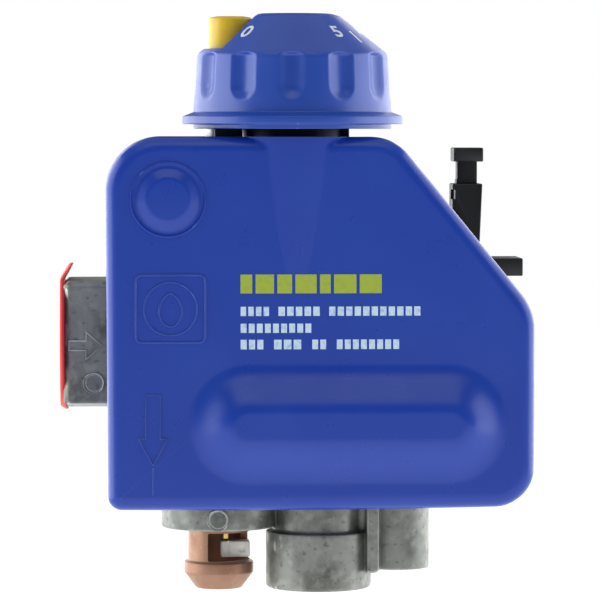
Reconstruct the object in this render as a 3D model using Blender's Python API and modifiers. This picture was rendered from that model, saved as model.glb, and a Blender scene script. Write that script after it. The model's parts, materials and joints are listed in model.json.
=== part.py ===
"""Thermostatic gas control valve for a storage water heater, as separate parts.

Frame: +X to the right as seen from the front, +Y from the front towards the tank, +Z up.
The origin is on the tank shank's axis, in the plane where the casting's rear boss ends.
Dimensions are in millimetres; MM turns them into metres where a shape is made.
"""
import math

import bmesh
import bpy
from mathutils import Matrix, Vector

MM = 0.001
GAP = 0.3                       # clearance kept between neighbouring pieces

# Front cover: a thin-walled tray with its open side to the rear
COVER_FRONT_Y = -58.0
COVER_RIM_Y = -32.0
COVER_WALL = 2.0
COVER_EDGE_FILLET = 3.0
COVER_OUTLINE = [                # x, z, corner radius, counter-clockwise from top left
    (-47.5, 48.3, 14.0),
    (-47.0, -44.7, 3.5),
    (59.7, -44.2, 10.0),
    (59.7, 4.9, 14.5),
    (24.4, 48.2, 12.0),
]
POST_RADIUS = 3.6
POSTS = [(-39.0, 35.0), (47.0, -36.0)]
PILLOW_Z = -23.35
PILLOW_X = (-12.15, 37.85)       # centres of the two round ends
PILLOW_RADIUS = 14.75
PILLOW_HEIGHT = 5.5
PILLOW_SLOPE = 2.0               # outwards per unit of height
BADGE_CENTRE = (-32.0, 32.7)

# Temperature knob and its gas cock, on one vertical axis
KNOB_AXIS = (0.0, -36.0)
KNOB_TOP = 79.2
KNOB_BOTTOM = 50.2
FLUTES = 12
FLUTE_TURN = math.radians(-3)    # the front flute stands a little to the left
FLUTE_RADIUS = 4.35
FLUTE_REACH = 27.8               # flute axis to knob axis
POCKET_FLOOR = 70.3
POCKET_MIDDLE = 178.0            # degrees, about the knob's axis
POCKET_HALF_ANGLE = 38.0
BUTTON_REACH = 15.75             # button axis to knob axis
BUTTON_RADIUS = 5.5
BUTTON_TOP = 78.6
BUTTON_STEM_RADIUS = 2.6
BUTTON_STEM_END = 52.0
SPINDLE_RADIUS = 2.9
COCK_RADIUS = 8.0
HALF_CONE = (22.0, 23.3)         # radii at its lower and upper end
HALF_CONE_Z = (10.0, 48.0)
NOTCH_RADIUS = 21.8              # cover's top notch round the knob's bearing
BEARING_NECK = 12.8
BEARING_SCREWS = [(-21.5, -26.0), (14.5, -26.0)]

# Small screws
SCREW_HOLE = 1.8
SCREW_SHANK = 1.5

# Casting
BLOCK_OUTLINE = [(-34.0, -45.0), (36.0, -45.0), (36.0, 27.0), (25.5, 40.0), (-34.0, 40.0)]
BLOCK_Y = (-48.0, -6.0)
INLET_X = -58.2
INLET_Y = (-31.6, -0.6)
INLET_Z = (-20.7, 11.3)
INLET_BORE = 9.3
CAP_CENTRE = (-16.1, -3.4)       # y, z
CAP_RADIUS = 19.0
SAFETY_AXIS = (-18.8, -36.0)
SAFETY_RADIUS = 14.6
SAFETY_BOTTOM = -50.8
MAGNET_BORE = 8.5
SEAT_BORE = 5.0
OUTLET_AXIS = (6.6, -36.0)
OUTLET_RADIUS = 13.4
OUTLET_LEDGE = -52.0
OUTLET_BOTTOM = -66.4
OUTLET_BORE = 6.5
PILOT_AXIS = (26.3, -36.0)
PILOT_RADIUS = 8.5
PILOT_BOTTOM = -61.5
PILOT_BORE = 3.2

# Thermostat chamber, open to the front
CHAMBER_X = (-4.0, 30.0)
CHAMBER_Y = (-49.0, -22.0)
CHAMBER_Z = (-30.0, 20.0)
MAIN_SEAT = (13.5, 12.5)         # x, z of the main valve
LEVER_PIVOT = (-26.0, -6.0)      # y, z
PLATE_X = (-10.0, 35.6)
PLATE_Z = (-34.5, 24.5)
PLATE_SCREWS = [(-7.0, 21.5), (33.0, 21.5), (-7.0, -5.0), (33.0, -5.0), (-7.0, -31.5), (33.0, -31.5)]
REGULATOR = (14.0, -23.3)        # x, z

# Thermocouple sleeve
SLEEVE_RADIUS = 7.85
SLEEVE_BOTTOM = -66.4

# Igniter, held by its bracket on the right side of the casting
IGNITER_X = (42.3, 50.1)
IGNITER_AXIS = (45.85, -15.0)
BRACKET_SCREW = (-15.0, 5.0)     # y, z
IGNITER_Y = (-19.7, -10.2)
IGNITER_Z = (-14.0, 35.9)
PLUNGER_TOP = 45.2
BRACKET_Z = (12.1, 16.7)

# Tank shank and immersion probe
SHANK_THREAD = 13.35
PROBE_RADIUS = 4.75
PROBE_END = 150.0

COLLECTIONS = {}


# ---------------------------------------------------------------- helpers

def clear_scene():
    for item in list(bpy.data.objects):
        bpy.data.objects.remove(item, do_unlink=True)


def make_material(name, colour, roughness, metallic=0.0):
    made = bpy.data.materials.new(name)
    made.use_nodes = True
    shader = made.node_tree.nodes["Principled BSDF"]
    shader.inputs["Base Color"].default_value = (*colour, 1.0)
    shader.inputs["Roughness"].default_value = roughness
    shader.inputs["Metallic"].default_value = metallic
    return made


def axis_frame(axis, centre):
    """Matrix whose Z runs along the named world axis, through the other two coordinates."""
    if axis == "X":
        place = (0.0, centre[0], centre[1])
        turn = Matrix.Rotation(math.radians(90), 4, "Y")
    elif axis == "Y":
        place = (centre[0], 0.0, centre[1])
        turn = Matrix.Rotation(math.radians(-90), 4, "X")
    else:
        place = (centre[0], centre[1], 0.0)
        turn = Matrix.Identity(4)
    return Matrix.Translation(Vector(place) * MM) @ turn


def add_object(name, mesh, finish, frame=None):
    """A part when it has a finish, otherwise a hidden cutting or joining tool."""
    made = bpy.data.objects.new(name, mesh)
    COLLECTIONS["parts" if finish else "tools"].objects.link(made)
    if finish:
        mesh.materials.append(finish)
    else:
        made.hide_render = True
        made.display_type = "WIRE"
    if frame is not None:
        made.matrix_world = frame
    return made


def finish_mesh(bm, name):
    bmesh.ops.recalc_face_normals(bm, faces=bm.faces)
    mesh = bpy.data.meshes.new(name)
    bm.to_mesh(mesh)
    bm.free()
    return mesh


def smooth(item):
    item.data.shade_smooth()
    item.data.set_sharp_from_angle(angle=math.radians(35))
    return item


def block(name, x, y, z, finish=None, edge=0.0, origin=(0.0, 0.0, 0.0)):
    """Box between two limits on each axis, with its object origin at the given point."""
    bm = bmesh.new()
    bmesh.ops.create_cube(bm, size=1.0)
    low = Vector((x[0], y[0], z[0]))
    size = Vector((x[1], y[1], z[1])) - low
    for vert in bm.verts:
        place = low + Vector([(vert.co[i] + 0.5) * size[i] for i in range(3)])
        vert.co = (place - Vector(origin)) * MM
    made = add_object(name, finish_mesh(bm, name), finish, Matrix.Translation(Vector(origin) * MM))
    if edge:
        round_edges(made, edge)
    return made


def rod(name, axis, centre, span, radius, finish=None, end_radius=None, sides=28):
    """Cylinder or cone frustum along an axis, from span[0] to span[1]."""
    bm = bmesh.new()
    bmesh.ops.create_cone(bm, cap_ends=True, segments=sides, radius1=radius * MM,
                          radius2=(radius if end_radius is None else end_radius) * MM,
                          depth=(span[1] - span[0]) * MM)
    bmesh.ops.translate(bm, verts=bm.verts, vec=(0.0, 0.0, (span[0] + span[1]) / 2 * MM))
    return add_object(name, finish_mesh(bm, name), finish, axis_frame(axis, centre))


def turned(name, axis, centre, profile, finish=None, closed=False, sides=28):
    """Profile of (radius, height) pairs, outer side downwards, swept by a Screw modifier."""
    mesh = bpy.data.meshes.new(name)
    points = [(radius * MM, 0.0, height * MM) for radius, height in profile]
    edges = [(i, i + 1) for i in range(len(points) - 1)]
    if closed:
        edges.append((len(points) - 1, 0))
    mesh.from_pydata(points, edges, [])
    made = add_object(name, mesh, finish, axis_frame(axis, centre))
    sweep = made.modifiers.new("Sweep", "SCREW")
    sweep.steps = sides
    sweep.render_steps = sides
    sweep.use_merge_vertices = True
    sweep.merge_threshold = 0.00001
    return made


def curve_mesh(curve, name):
    """Welded mesh of a curve, which is removed."""
    holder = bpy.data.objects.new(name, curve)
    bpy.context.scene.collection.objects.link(holder)
    bpy.context.view_layer.update()
    evaluated = holder.evaluated_get(bpy.context.evaluated_depsgraph_get())
    bm = bmesh.new()
    bm.from_mesh(bpy.data.meshes.new_from_object(evaluated))
    bmesh.ops.remove_doubles(bm, verts=bm.verts, dist=0.000001)
    bpy.data.objects.remove(holder, do_unlink=True)
    return finish_mesh(bm, name)


def plate(name, axis, outline, span, finish=None):
    """Flat outline, extruded along an axis from span[0] to span[1].

    The outline is in x, z for axis Y, in x, y for axis Z and in y, z for axis X.
    """
    curve = bpy.data.curves.new(name, "CURVE")
    curve.dimensions = "2D"
    curve.fill_mode = "BOTH"
    curve.extrude = (span[1] - span[0]) / 2 * MM
    spline = curve.splines.new("POLY")
    spline.points.add(len(outline) - 1)
    for point, (u, v) in zip(spline.points, outline):
        point.co = (u * MM, v * MM, 0.0, 1.0)
    spline.use_cyclic_u = True
    middle = (span[0] + span[1]) / 2 * MM
    if axis == "Y":
        frame = Matrix.Translation((0.0, middle, 0.0)) @ Matrix.Rotation(math.radians(90), 4, "X")
    elif axis == "X":
        turn = Matrix(((0, 0, 1, 0), (1, 0, 0, 0), (0, 1, 0, 0), (0, 0, 0, 1)))
        frame = Matrix.Translation((middle, 0.0, 0.0)) @ turn
    else:
        frame = Matrix.Translation((0.0, 0.0, middle))
    return add_object(name, curve_mesh(curve, name), finish, frame)


def coil(name, axis, centre, span, radius, turns, wire, finish, per_turn=9):
    """Open-ended compression spring as a bevelled poly spline."""
    curve = bpy.data.curves.new(name, "CURVE")
    curve.dimensions = "3D"
    curve.bevel_depth = wire * MM
    curve.bevel_resolution = 0
    curve.use_fill_caps = True
    spline = curve.splines.new("POLY")
    count = int(turns * per_turn)
    spline.points.add(count)
    low = span[0] + wire
    high = span[1] - wire
    for index, point in enumerate(spline.points):
        part = index / count
        angle = math.tau * turns * part
        height = low + (high - low) * part
        point.co = (radius * math.cos(angle) * MM, radius * math.sin(angle) * MM, height * MM, 1.0)
    return add_object(name, curve_mesh(curve, name), finish, axis_frame(axis, centre))


def round_edges(item, width, segments=1, angle=40.0):
    bevel = item.modifiers.new("Edges", "BEVEL")
    bevel.width = width * MM
    bevel.segments = segments
    bevel.limit_method = "ANGLE"
    bevel.angle_limit = math.radians(angle)


def boolean(target, tool, operation):
    step = target.modifiers.new(operation.title(), "BOOLEAN")
    step.operation = operation
    step.solver = "EXACT"
    step.object = tool


def cut(target, *tools):
    for tool in tools:
        boolean(target, tool, "DIFFERENCE")


def fuse(target, *tools):
    for tool in tools:
        boolean(target, tool, "UNION")


def rounded_outline(corners, steps=5):
    """Closed outline with an arc of the given radius at each (u, v, radius) corner."""
    points = []
    count = len(corners)
    for index, (u, v, radius) in enumerate(corners):
        here = Vector((u, v))
        to_last = (Vector(corners[index - 1][:2]) - here).normalized()
        to_next = (Vector(corners[(index + 1) % count][:2]) - here).normalized()
        half = to_last.angle(to_next) / 2
        centre = here + (to_last + to_next).normalized() * (radius / math.sin(half))
        start = here + to_last * (radius / math.tan(half)) - centre
        stop = here + to_next * (radius / math.tan(half)) - centre
        sweep = start.angle_signed(stop)
        for step in range(steps + 1):
            turn = -sweep * step / steps
            points.append(tuple(centre + Matrix.Rotation(turn, 2) @ start))
    return points


def sector(inner, outer, middle, half_angle, centre):
    """Four-sided outline between two radii and two directions, in x, y."""
    points = []
    for radius, side in ((inner, -1), (outer, -1), (outer, 1), (inner, 1)):
        angle = math.radians(middle + side * half_angle)
        points.append((centre[0] + radius * math.cos(angle), centre[1] + radius * math.sin(angle)))
    return points


# ---------------------------------------------------------------- cover

def cover_tray(finish):
    """Front face and side walls as one open surface, with rounded front edge and thickness."""
    bm = bmesh.new()
    outline = rounded_outline(COVER_OUTLINE)
    front = [bm.verts.new((x * MM, COVER_FRONT_Y * MM, z * MM)) for x, z in outline]
    bm.faces.new(front)
    walls = bmesh.ops.extrude_edge_only(bm, edges=bm.edges[:])
    moved = [item for item in walls["geom"] if isinstance(item, bmesh.types.BMVert)]
    bmesh.ops.translate(bm, verts=moved, vec=(0.0, (COVER_RIM_Y - COVER_FRONT_Y) * MM, 0.0))
    tray = add_object("cover", finish_mesh(bm, "cover"), finish)
    bevel = tray.modifiers.new("Front edge", "BEVEL")
    bevel.width = COVER_EDGE_FILLET * MM
    bevel.segments = 3
    bevel.limit_method = "ANGLE"
    bevel.angle_limit = math.radians(60)
    bevel.use_clamp_overlap = False
    shell = tray.modifiers.new("Wall", "SOLIDIFY")
    shell.thickness = COVER_WALL * MM
    shell.offset = -1.0
    shell.use_even_offset = True
    return tray


def pillow(name, inset, start, stop):
    """Raised stadium with sloping sides: a cone frustum pulled apart at its middle."""
    bm = bmesh.new()
    radius = PILLOW_RADIUS - inset
    bmesh.ops.create_cone(bm, cap_ends=True, segments=32,
                          radius1=(radius - PILLOW_SLOPE * start) * MM,
                          radius2=(radius - PILLOW_SLOPE * stop) * MM, depth=(stop - start) * MM)
    for vert in bm.verts:
        if vert.co.x > 0.00001:
            vert.co.x += (PILLOW_X[1] - PILLOW_X[0]) * MM
    turn = Matrix.Rotation(math.radians(90), 4, "X")
    place = Vector((PILLOW_X[0], COVER_FRONT_Y - (start + stop) / 2, PILLOW_Z)) * MM
    return add_object(name, finish_mesh(bm, name), None, Matrix.Translation(place) @ turn)


def build_cover(finish):
    tray = cover_tray(finish)
    raised = rod("cover_half_cone", "Z", KNOB_AXIS, HALF_CONE_Z, HALF_CONE[0],
                 end_radius=HALF_CONE[1], sides=36)
    front_only = block("half_cone_keep", (-12, 12), (-62, COVER_FRONT_Y + 1.0), (11, 47.5))
    boolean(raised, front_only, "INTERSECT")
    badge_foot = rod("badge_foot", "Y", BADGE_CENTRE, (COVER_FRONT_Y - 0.4, COVER_FRONT_Y + 1), 9.4)
    badge_top = rod("badge_top", "Y", BADGE_CENTRE, (COVER_FRONT_Y - 1.5, COVER_FRONT_Y + 1),
                    5.5, end_radius=8.4)
    fuse(tray, pillow("pillow_outside", 0.0, -0.6, PILLOW_HEIGHT), raised, badge_foot, badge_top)
    cut(tray, pillow("pillow_inside", 4.0, -2.2, PILLOW_HEIGHT - COVER_WALL))
    for number, place in enumerate(POSTS, 1):
        fuse(tray, rod(f"cover_post_{number}", "Y", place, (COVER_FRONT_Y + 1, -30.3), POST_RADIUS,
                       sides=20))
        cut(tray, rod(f"cover_post_bore_{number}", "Y", place, (-44, -29), SCREW_HOLE, sides=16))
    notch = rod("cover_notch", "Z", KNOB_AXIS, (42, 52), NOTCH_RADIUS, sides=36)
    notch_rear = block("cover_notch_rear", (-NOTCH_RADIUS, NOTCH_RADIUS), (-36, -30), (42, 52))
    rod_relief = block("cover_rod_relief", (-22.9, -15.0), (-40.3, -30), (44, 52))
    bottom = block("cover_bottom_notch", (-36, 38), (-52, -30), (-50, -41))
    cut(tray, notch, notch_rear, rod_relief, bottom)


def build_cover_screws(finish):
    for number, place in enumerate(POSTS, 1):
        turned(f"cover_screw_{number}", "Y", place,
               [(0, -23.4), (2.4, -23.4), (3.0, -24.2), (3.0, -25.7), (SCREW_SHANK, -25.7),
                (SCREW_SHANK, -43), (0, -43.6)], finish, sides=16)


# ---------------------------------------------------------------- knob, button and cock

def build_knob(finish):
    profile = [(0, KNOB_TOP), (9.5, KNOB_TOP), (12, 78.6), (22.5, POCKET_FLOOR), (23.9, 69.4),
               (24.45, 67.9), (25.1, 54.4), (27.9, 53.3), (27.9, 51.35), (25.1, 51.35),
               (25.1, KNOB_BOTTOM), (22.9, KNOB_BOTTOM), (22.3, 67.3), (20.8, 68.3),
               (11, 76.2), (0, 76.6)]
    knob = turned("control_knob", "Z", KNOB_AXIS, profile, finish, sides=36)
    filling = turned("pocket_filling", "Z", KNOB_AXIS,
                     [(0, 78.9), (9.5, 78.9), (12, 78.3), (22.3, 70.1), (22.3, 68.1), (0, 68.1)],
                     sides=36)
    wedge = plate("pocket_filling_keep", "Z", sector(3, 40, 180, 46, KNOB_AXIS), (60, 85))
    boolean(filling, wedge, "INTERSECT")
    button_axis = (KNOB_AXIS[0] - BUTTON_REACH, KNOB_AXIS[1])
    well = rod("button_well", "Z", button_axis, (56, 69), 7.4, sides=24)
    hub = rod("knob_hub", "Z", KNOB_AXIS, (52.8, 77), 6.0, sides=24)
    fuse(knob, filling, well, hub)
    pocket = plate("pocket", "Z", sector(9.2, 36, POCKET_MIDDLE, POCKET_HALF_ANGLE, KNOB_AXIS),
                   (POCKET_FLOOR, 85))
    button_hole = rod("button_hole", "Z", button_axis, (58, 75), BUTTON_RADIUS + GAP, sides=24)
    stem_hole = rod("stem_hole", "Z", button_axis, (50, 60), BUTTON_STEM_RADIUS + GAP, sides=16)
    spindle_hole = rod("spindle_hole", "Z", KNOB_AXIS, (50, 73), SPINDLE_RADIUS + GAP, sides=24)
    cut(knob, pocket, button_hole, stem_hole, spindle_hole)
    for number in range(FLUTES):
        angle = math.tau * (number + 0.25 * FLUTES) / FLUTES + FLUTE_TURN
        place = (KNOB_AXIS[0] + FLUTE_REACH * math.cos(angle),
                 KNOB_AXIS[1] + FLUTE_REACH * math.sin(angle))
        cut(knob, rod(f"flute_{number + 1}", "Z", place, (58.5, 72), FLUTE_RADIUS, sides=16))


def build_button(finish, steel):
    axis = (KNOB_AXIS[0] - BUTTON_REACH, KNOB_AXIS[1])
    turned("pilot_button", "Z", axis,
           [(0, BUTTON_TOP), (4.8, BUTTON_TOP), (BUTTON_RADIUS, 77.9), (BUTTON_RADIUS, 64.3),
            (BUTTON_STEM_RADIUS, 64.3), (BUTTON_STEM_RADIUS, BUTTON_STEM_END),
            (0, BUTTON_STEM_END)], finish, sides=24)
    coil("pilot_button_spring", "Z", axis, (58.3, 64.0), 4.2, 3.5, 0.4, steel)


def build_cock(brass, steel):
    rotor = turned("gas_cock_rotor", "Z", KNOB_AXIS,
                   [(3.2, 39.4), (7.6, 39.4), (7.2, 24.6), (3.8, 24.6), (3.8, 33.6), (3.2, 33.6)],
                   brass, closed=True, sides=28)
    cut(rotor, rod("rotor_port", "X", (KNOB_AXIS[1], 30.0), (-12, 0), 3.0, sides=16))
    turned("knob_spindle", "Z", KNOB_AXIS,
           [(0, 72), (SPINDLE_RADIUS, 71.4), (SPINDLE_RADIUS, 34.2), (0, 34.2)], steel, sides=24)
    coil("cock_spring", "Z", KNOB_AXIS, (39.8, 45.6), 4.7, 3, 0.5, steel)
    clip = turned("spindle_circlip", "Z", KNOB_AXIS,
                  [(5.2, 51.2), (5.2, 50.4), (3.2, 50.4), (3.2, 51.2)], steel, closed=True, sides=24)
    cut(clip, block("circlip_gap", (-1.4, 1.4), (-44, -37), (49, 53)))


def build_bearing_plate(finish):
    base = plate("bearing_plate", "Z",
                 rounded_outline([(-25, -48, 3), (18, -48, 3), (18, -22, 3), (-25, -22, 3)], 3),
                 (40.3, 44.0), finish)
    fuse(base, rod("bearing_neck", "Z", KNOB_AXIS, (43, 52.0), BEARING_NECK, sides=32))
    fuse(base, block("bearing_lug", (-20.0, -13.0), (-44, -39.9), (43, 51.5)))
    fuse(base, block("bearing_ear", (10.0, 14.1), (-41, -33), (43, 51.5)))
    fuse(base, block("bearing_web", (-16.0, -8.0), (-43, -40), (43, 48.6)))
    cut(base, rod("bearing_well", "Z", KNOB_AXIS, (50, 53), 9.5))
    cut(base, rod("bearing_bore", "Z", KNOB_AXIS, (39, 52), SPINDLE_RADIUS + GAP, sides=24))
    cut(base, rod("bearing_counterbore", "Z", KNOB_AXIS, (39, 46), 6.2, sides=24))
    cut(base, rod("push_rod_hole", "Z", SAFETY_AXIS, (39, 52), 2.0, sides=16))
    for number, place in enumerate(BEARING_SCREWS, 1):
        cut(base, rod(f"bearing_screw_hole_{number}", "Z", place, (39, 45), SCREW_HOLE, sides=16))


def build_bearing_screws(finish):
    for number, place in enumerate(BEARING_SCREWS, 1):
        turned(f"bearing_screw_{number}", "Z", place,
               [(0, 46.2), (2.2, 46.2), (2.8, 45.6), (2.8, 44.3), (SCREW_SHANK, 44.3),
                (SCREW_SHANK, 34.0), (0, 33.4)], finish, sides=16)


# ---------------------------------------------------------------- safety valve

def build_safety_valve(steel, rubber, brass, copper, white):
    turned("pilot_push_rod", "Z", SAFETY_AXIS,
           [(0, 51.7), (3.3, 51.7), (3.6, 51.3), (3.6, 47.8), (1.5, 47.8), (1.5, 0.3), (0, 0.3)],
           steel, sides=20)
    turned("push_rod_oring", "Z", SAFETY_AXIS,
           [(2.8, 34.6), (3.6, 34.3), (3.6, 33.2), (2.8, 32.9), (1.8, 33.2), (1.8, 34.3)],
           rubber, closed=True, sides=20)
    turned("safety_valve_disc", "Z", SAFETY_AXIS,
           [(0, -0.3), (6.8, -0.3), (7.2, -0.9), (7.2, -2.6), (1.5, -2.6), (1.5, -18.7), (0, -18.7)],
           rubber, sides=28)
    rod("magnet_armature", "Z", SAFETY_AXIS, (-21.0, -19.0), 4.6, steel, sides=24)
    coil("safety_valve_spring", "Z", SAFETY_AXIS, (-22.9, -2.9), 5.9, 5, 0.45, steel)
    turned("magnet_unit", "Z", SAFETY_AXIS,
           [(0, -24.8), (4.4, -24.8), (4.4, -26.5), (5.2, -26.5), (5.2, -23.2), (6.9, -23.2),
            (6.9, -28.2), (8.0, -28.2), (8.0, -45.6), (4.0, -45.6), (4.0, -47.5), (1.3, -47.5),
            (1.3, -51.0), (0, -51.0)], steel, sides=24)
    sleeve = turned("thermocouple_sleeve", "Z", SAFETY_AXIS,
                    [(SLEEVE_RADIUS, -48.0), (SLEEVE_RADIUS, -59.5), (8.8, -59.9), (8.8, -62.4),
                     (5.8, SLEEVE_BOTTOM), (4.2, SLEEVE_BOTTOM), (4.2, -62.8), (6.2, -62.2),
                     (6.2, -48.0)], copper, closed=True, sides=32)
    cut(sleeve, block("sleeve_slot", (-21.8, -8.0), (-46, -33.4), (-59.2, -52.0)))
    block("eco_connector", (-18.4, -11.0), (-39.2, -34.0), (-58.5, -54.4), white, edge=0.5)
    block("eco_terminal", (-17.8, -16.4), (-38.0, -35.4), (-54.1, -51.3), brass)


# ---------------------------------------------------------------- casting

def build_body(finish):
    body = plate("valve_body", "Y", BLOCK_OUTLINE, BLOCK_Y, finish)
    round_edges(body, 1.5, segments=1)
    inlet = block("inlet_block", (INLET_X, -31), INLET_Y, INLET_Z, edge=1.2)
    rear = rod("rear_boss", "Y", (0, 0), (-8, 0), 20.0, sides=32)
    safety = rod("safety_boss", "Z", SAFETY_AXIS, (SAFETY_BOTTOM, -40), SAFETY_RADIUS, sides=32)
    outlet = turned("outlet_boss", "Z", OUTLET_AXIS,
                    [(0, -40), (11.5, -40), (11.5, OUTLET_LEDGE), (OUTLET_RADIUS, OUTLET_LEDGE),
                     (OUTLET_RADIUS, OUTLET_BOTTOM + 0.6), (OUTLET_RADIUS - 0.6, OUTLET_BOTTOM),
                     (0, OUTLET_BOTTOM)], sides=32)
    pilot = rod("pilot_boss", "Z", PILOT_AXIS, (PILOT_BOTTOM, -40), PILOT_RADIUS, sides=32)
    rib = block("boss_rib", (10, 24), (-42, -32), (-58, -40))
    fin = block("boss_fin", (18.6, 21.4), (-46.2, -38), (-61.6, -43))
    fuse(body, inlet, rear, safety, outlet, pilot, rib, fin)
    ear_left = block("ear_left", (-44, -33), (-30, -26), (30, 39.5), edge=1.0)
    ear_right = block("ear_right", (35, 52), (-30, -26), (-41, -31), edge=1.0)
    fuse(body, ear_left, ear_right)
    cut_gas_ways(body)
    cut_chamber(body)
    for number, place in enumerate(POSTS, 1):
        cut(body, rod(f"ear_hole_{number}", "Y", place, (-31, -25), 1.9, sides=16))
    for number, place in enumerate(BEARING_SCREWS, 1):
        cut(body, rod(f"bearing_screw_bore_{number}", "Z", place, (33.0, 41), SCREW_HOLE, sides=16))
    cut(body, rod("bracket_screw_bore", "X", BRACKET_SCREW, (30.5, 37), SCREW_HOLE, sides=16))


def cut_gas_ways(body):
    """Inlet, safety chamber, valve column, cock bore and the passages to the two outlets."""
    facing = rod("inlet_facing", "X", CAP_CENTRE, (-60, -58.0), CAP_RADIUS + GAP, sides=36)
    middle = (sum(INLET_Y) / 2, sum(INLET_Z) / 2)
    inlet_bore = rod("inlet_bore", "X", middle, (-60, -26), INLET_BORE)
    safety_chamber = block("safety_chamber", (-28, -10.5), (-45, -14), (-30, 0))
    magnet_bore = rod("magnet_bore", "Z", SAFETY_AXIS, (-52, -29), MAGNET_BORE)
    column = rod("valve_column", "Z", SAFETY_AXIS, (-1, 34.8), SEAT_BORE, sides=24)
    guide = rod("push_rod_guide", "Z", SAFETY_AXIS, (34, 41), 1.8, sides=16)
    side_port = block("side_port", (-18, -4), (-40, -32), (26, 34))
    cock_bore = rod("cock_bore", "Z", KNOB_AXIS, (24, 41), COCK_RADIUS)
    cock_outlet = rod("cock_outlet", "Z", KNOB_AXIS, (18, 25), 4.0, sides=24)
    cut(body, facing, inlet_bore, safety_chamber, magnet_bore, column, guide, side_port, cock_bore,
        cock_outlet)
    down = block("main_passage", (8, 20), (-18, -10), (-42, 20))
    across = block("outlet_channel", (4, 18), (-36, -10), (-42, -34))
    outlet_bore = rod("outlet_bore", "Z", OUTLET_AXIS, (-68, -37), OUTLET_BORE)
    pilot_bore = rod("pilot_bore", "Z", PILOT_AXIS, (-63, -44), PILOT_BORE, sides=24)
    pilot_feed = rod("pilot_feed", "Z", PILOT_AXIS, (-45, -29), 1.5, sides=16)
    cut(body, down, across, outlet_bore, pilot_bore, pilot_feed)


def cut_chamber(body):
    """Thermostat chamber with its lever lugs, main seat, probe bore and cover plate screw holes."""
    chamber = block("chamber", CHAMBER_X, CHAMBER_Y, CHAMBER_Z)
    cut(body, chamber)
    y, z = LEVER_PIVOT
    for name, x in (("lug_left", (-5, -2.0)), ("lug_right", (17.4, 20))):
        fuse(body, block(name, x, (y - 3, -21), (z - 3.5, z + 3)))
    cut(body, rod("lever_pin_bore", "X", LEVER_PIVOT, (-4.6, 21), 1.5, sides=16))
    cut(body, rod("main_seat", "Y", MAIN_SEAT, (-24, -17), 5.0, sides=24))
    cut(body, rod("probe_bore", "Y", (0, 0), (-24, 1), 2.6, sides=24))
    cut(body, rod("shank_socket", "Y", (0, 0), (-6, 1), 9.8))
    for number, place in enumerate(PLATE_SCREWS, 1):
        cut(body, rod(f"plate_screw_bore_{number}", "Y", place, (-49, -41), SCREW_HOLE, sides=12))


# ---------------------------------------------------------------- thermostat chamber pieces

def build_front_plate(alloy, rubber, steel):
    corners = [(PLATE_X[0], PLATE_Z[0], 3), (PLATE_X[1], PLATE_Z[0], 3), (PLATE_X[1], PLATE_Z[1], 3),
               (PLATE_X[0], PLATE_Z[1], 3)]
    gasket = plate("body_gasket", "Y", rounded_outline(corners, 3), (-49.1, -48.3), rubber)
    opening = block("gasket_opening", CHAMBER_X, (-50, -47), CHAMBER_Z)
    cut(gasket, opening)
    front = plate("front_plate", "Y", rounded_outline(corners, 3), (-52.4, -49.4), alloy)
    boss = rod("regulator_boss", "Y", REGULATOR, (-55.4, -50.5), 11.2)
    fuse(front, boss)
    cut(front, rod("regulator_bore", "Y", REGULATOR, (-56, -50.6), 9.4))
    cut(front, rod("regulator_port", "Y", REGULATOR, (-51, -49), 7.0, sides=24))
    for number, place in enumerate(PLATE_SCREWS, 1):
        cut(front, rod(f"plate_hole_{number}", "Y", place, (-53, -49), SCREW_HOLE, sides=12))
        cut(gasket, rod(f"gasket_hole_{number}", "Y", place, (-50, -48), SCREW_HOLE, sides=12))
        turned(f"plate_screw_{number}", "Y", place,
               [(0, -41.6), (SCREW_SHANK, -42.0), (SCREW_SHANK, -52.7), (2.7, -52.7), (2.7, -54.0),
                (2.2, -54.6), (0, -54.6)], steel, sides=12)


def build_regulator(alloy, rubber, steel):
    rod("regulator_diaphragm", "Y", REGULATOR, (-51.7, -50.9), 9.0, rubber)
    coil("regulator_spring", "Y", REGULATOR, (-56.2, -52.0), 4.5, 3, 0.35, steel)
    turned("regulator_cap", "Y", REGULATOR,
           [(0, -56.5), (7.0, -56.5), (7.0, -54.2), (9.1, -54.2), (9.1, -55.7), (10.4, -55.7),
            (10.4, -56.6), (9.8, -57.4), (0, -57.4)], alloy)


def build_thermostat(steel, rubber):
    y, z = LEVER_PIVOT
    lever = block("thermostat_lever", (-1.6, 17.0), (y - 1, y + 1), (z - 1, 17.0), steel,
                  origin=(0.0, y, z))
    fuse(lever, rod("lever_barrel", "X", LEVER_PIVOT, (-1.6, 17.0), 2.6, sides=20))
    cut(lever, rod("lever_bore", "X", LEVER_PIVOT, (-3, 18), 1.5, sides=16))
    cut(lever, rod("lever_hole", "Y", MAIN_SEAT, (y - 4, y + 4), 2.2, sides=16))
    cut(lever, block("lever_relief", (4.0, 9.0), (y - 4, y + 4), (2.0, 24.0)))
    rod("lever_pin", "X", LEVER_PIVOT, (-4.2, 20.0), 1.2, steel, sides=16)
    turned("main_valve_disc", "Y", MAIN_SEAT,
           [(0, -22.3), (6.6, -22.3), (6.6, -24.2), (1.8, -24.2), (1.8, -27.4), (3.4, -27.4),
            (3.4, -28.6), (0, -28.6)], rubber, sides=24)
    coil("main_valve_spring", "Y", MAIN_SEAT, (-49.0, -28.9), 2.6, 7, 0.35, steel)
    turned("probe_rod", "Y", (0, 0), [(0, 140), (1.5, 140), (1.5, -24.7), (0, -24.7)], steel, sides=16)


# ---------------------------------------------------------------- tank shank, inlet and igniter

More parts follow.
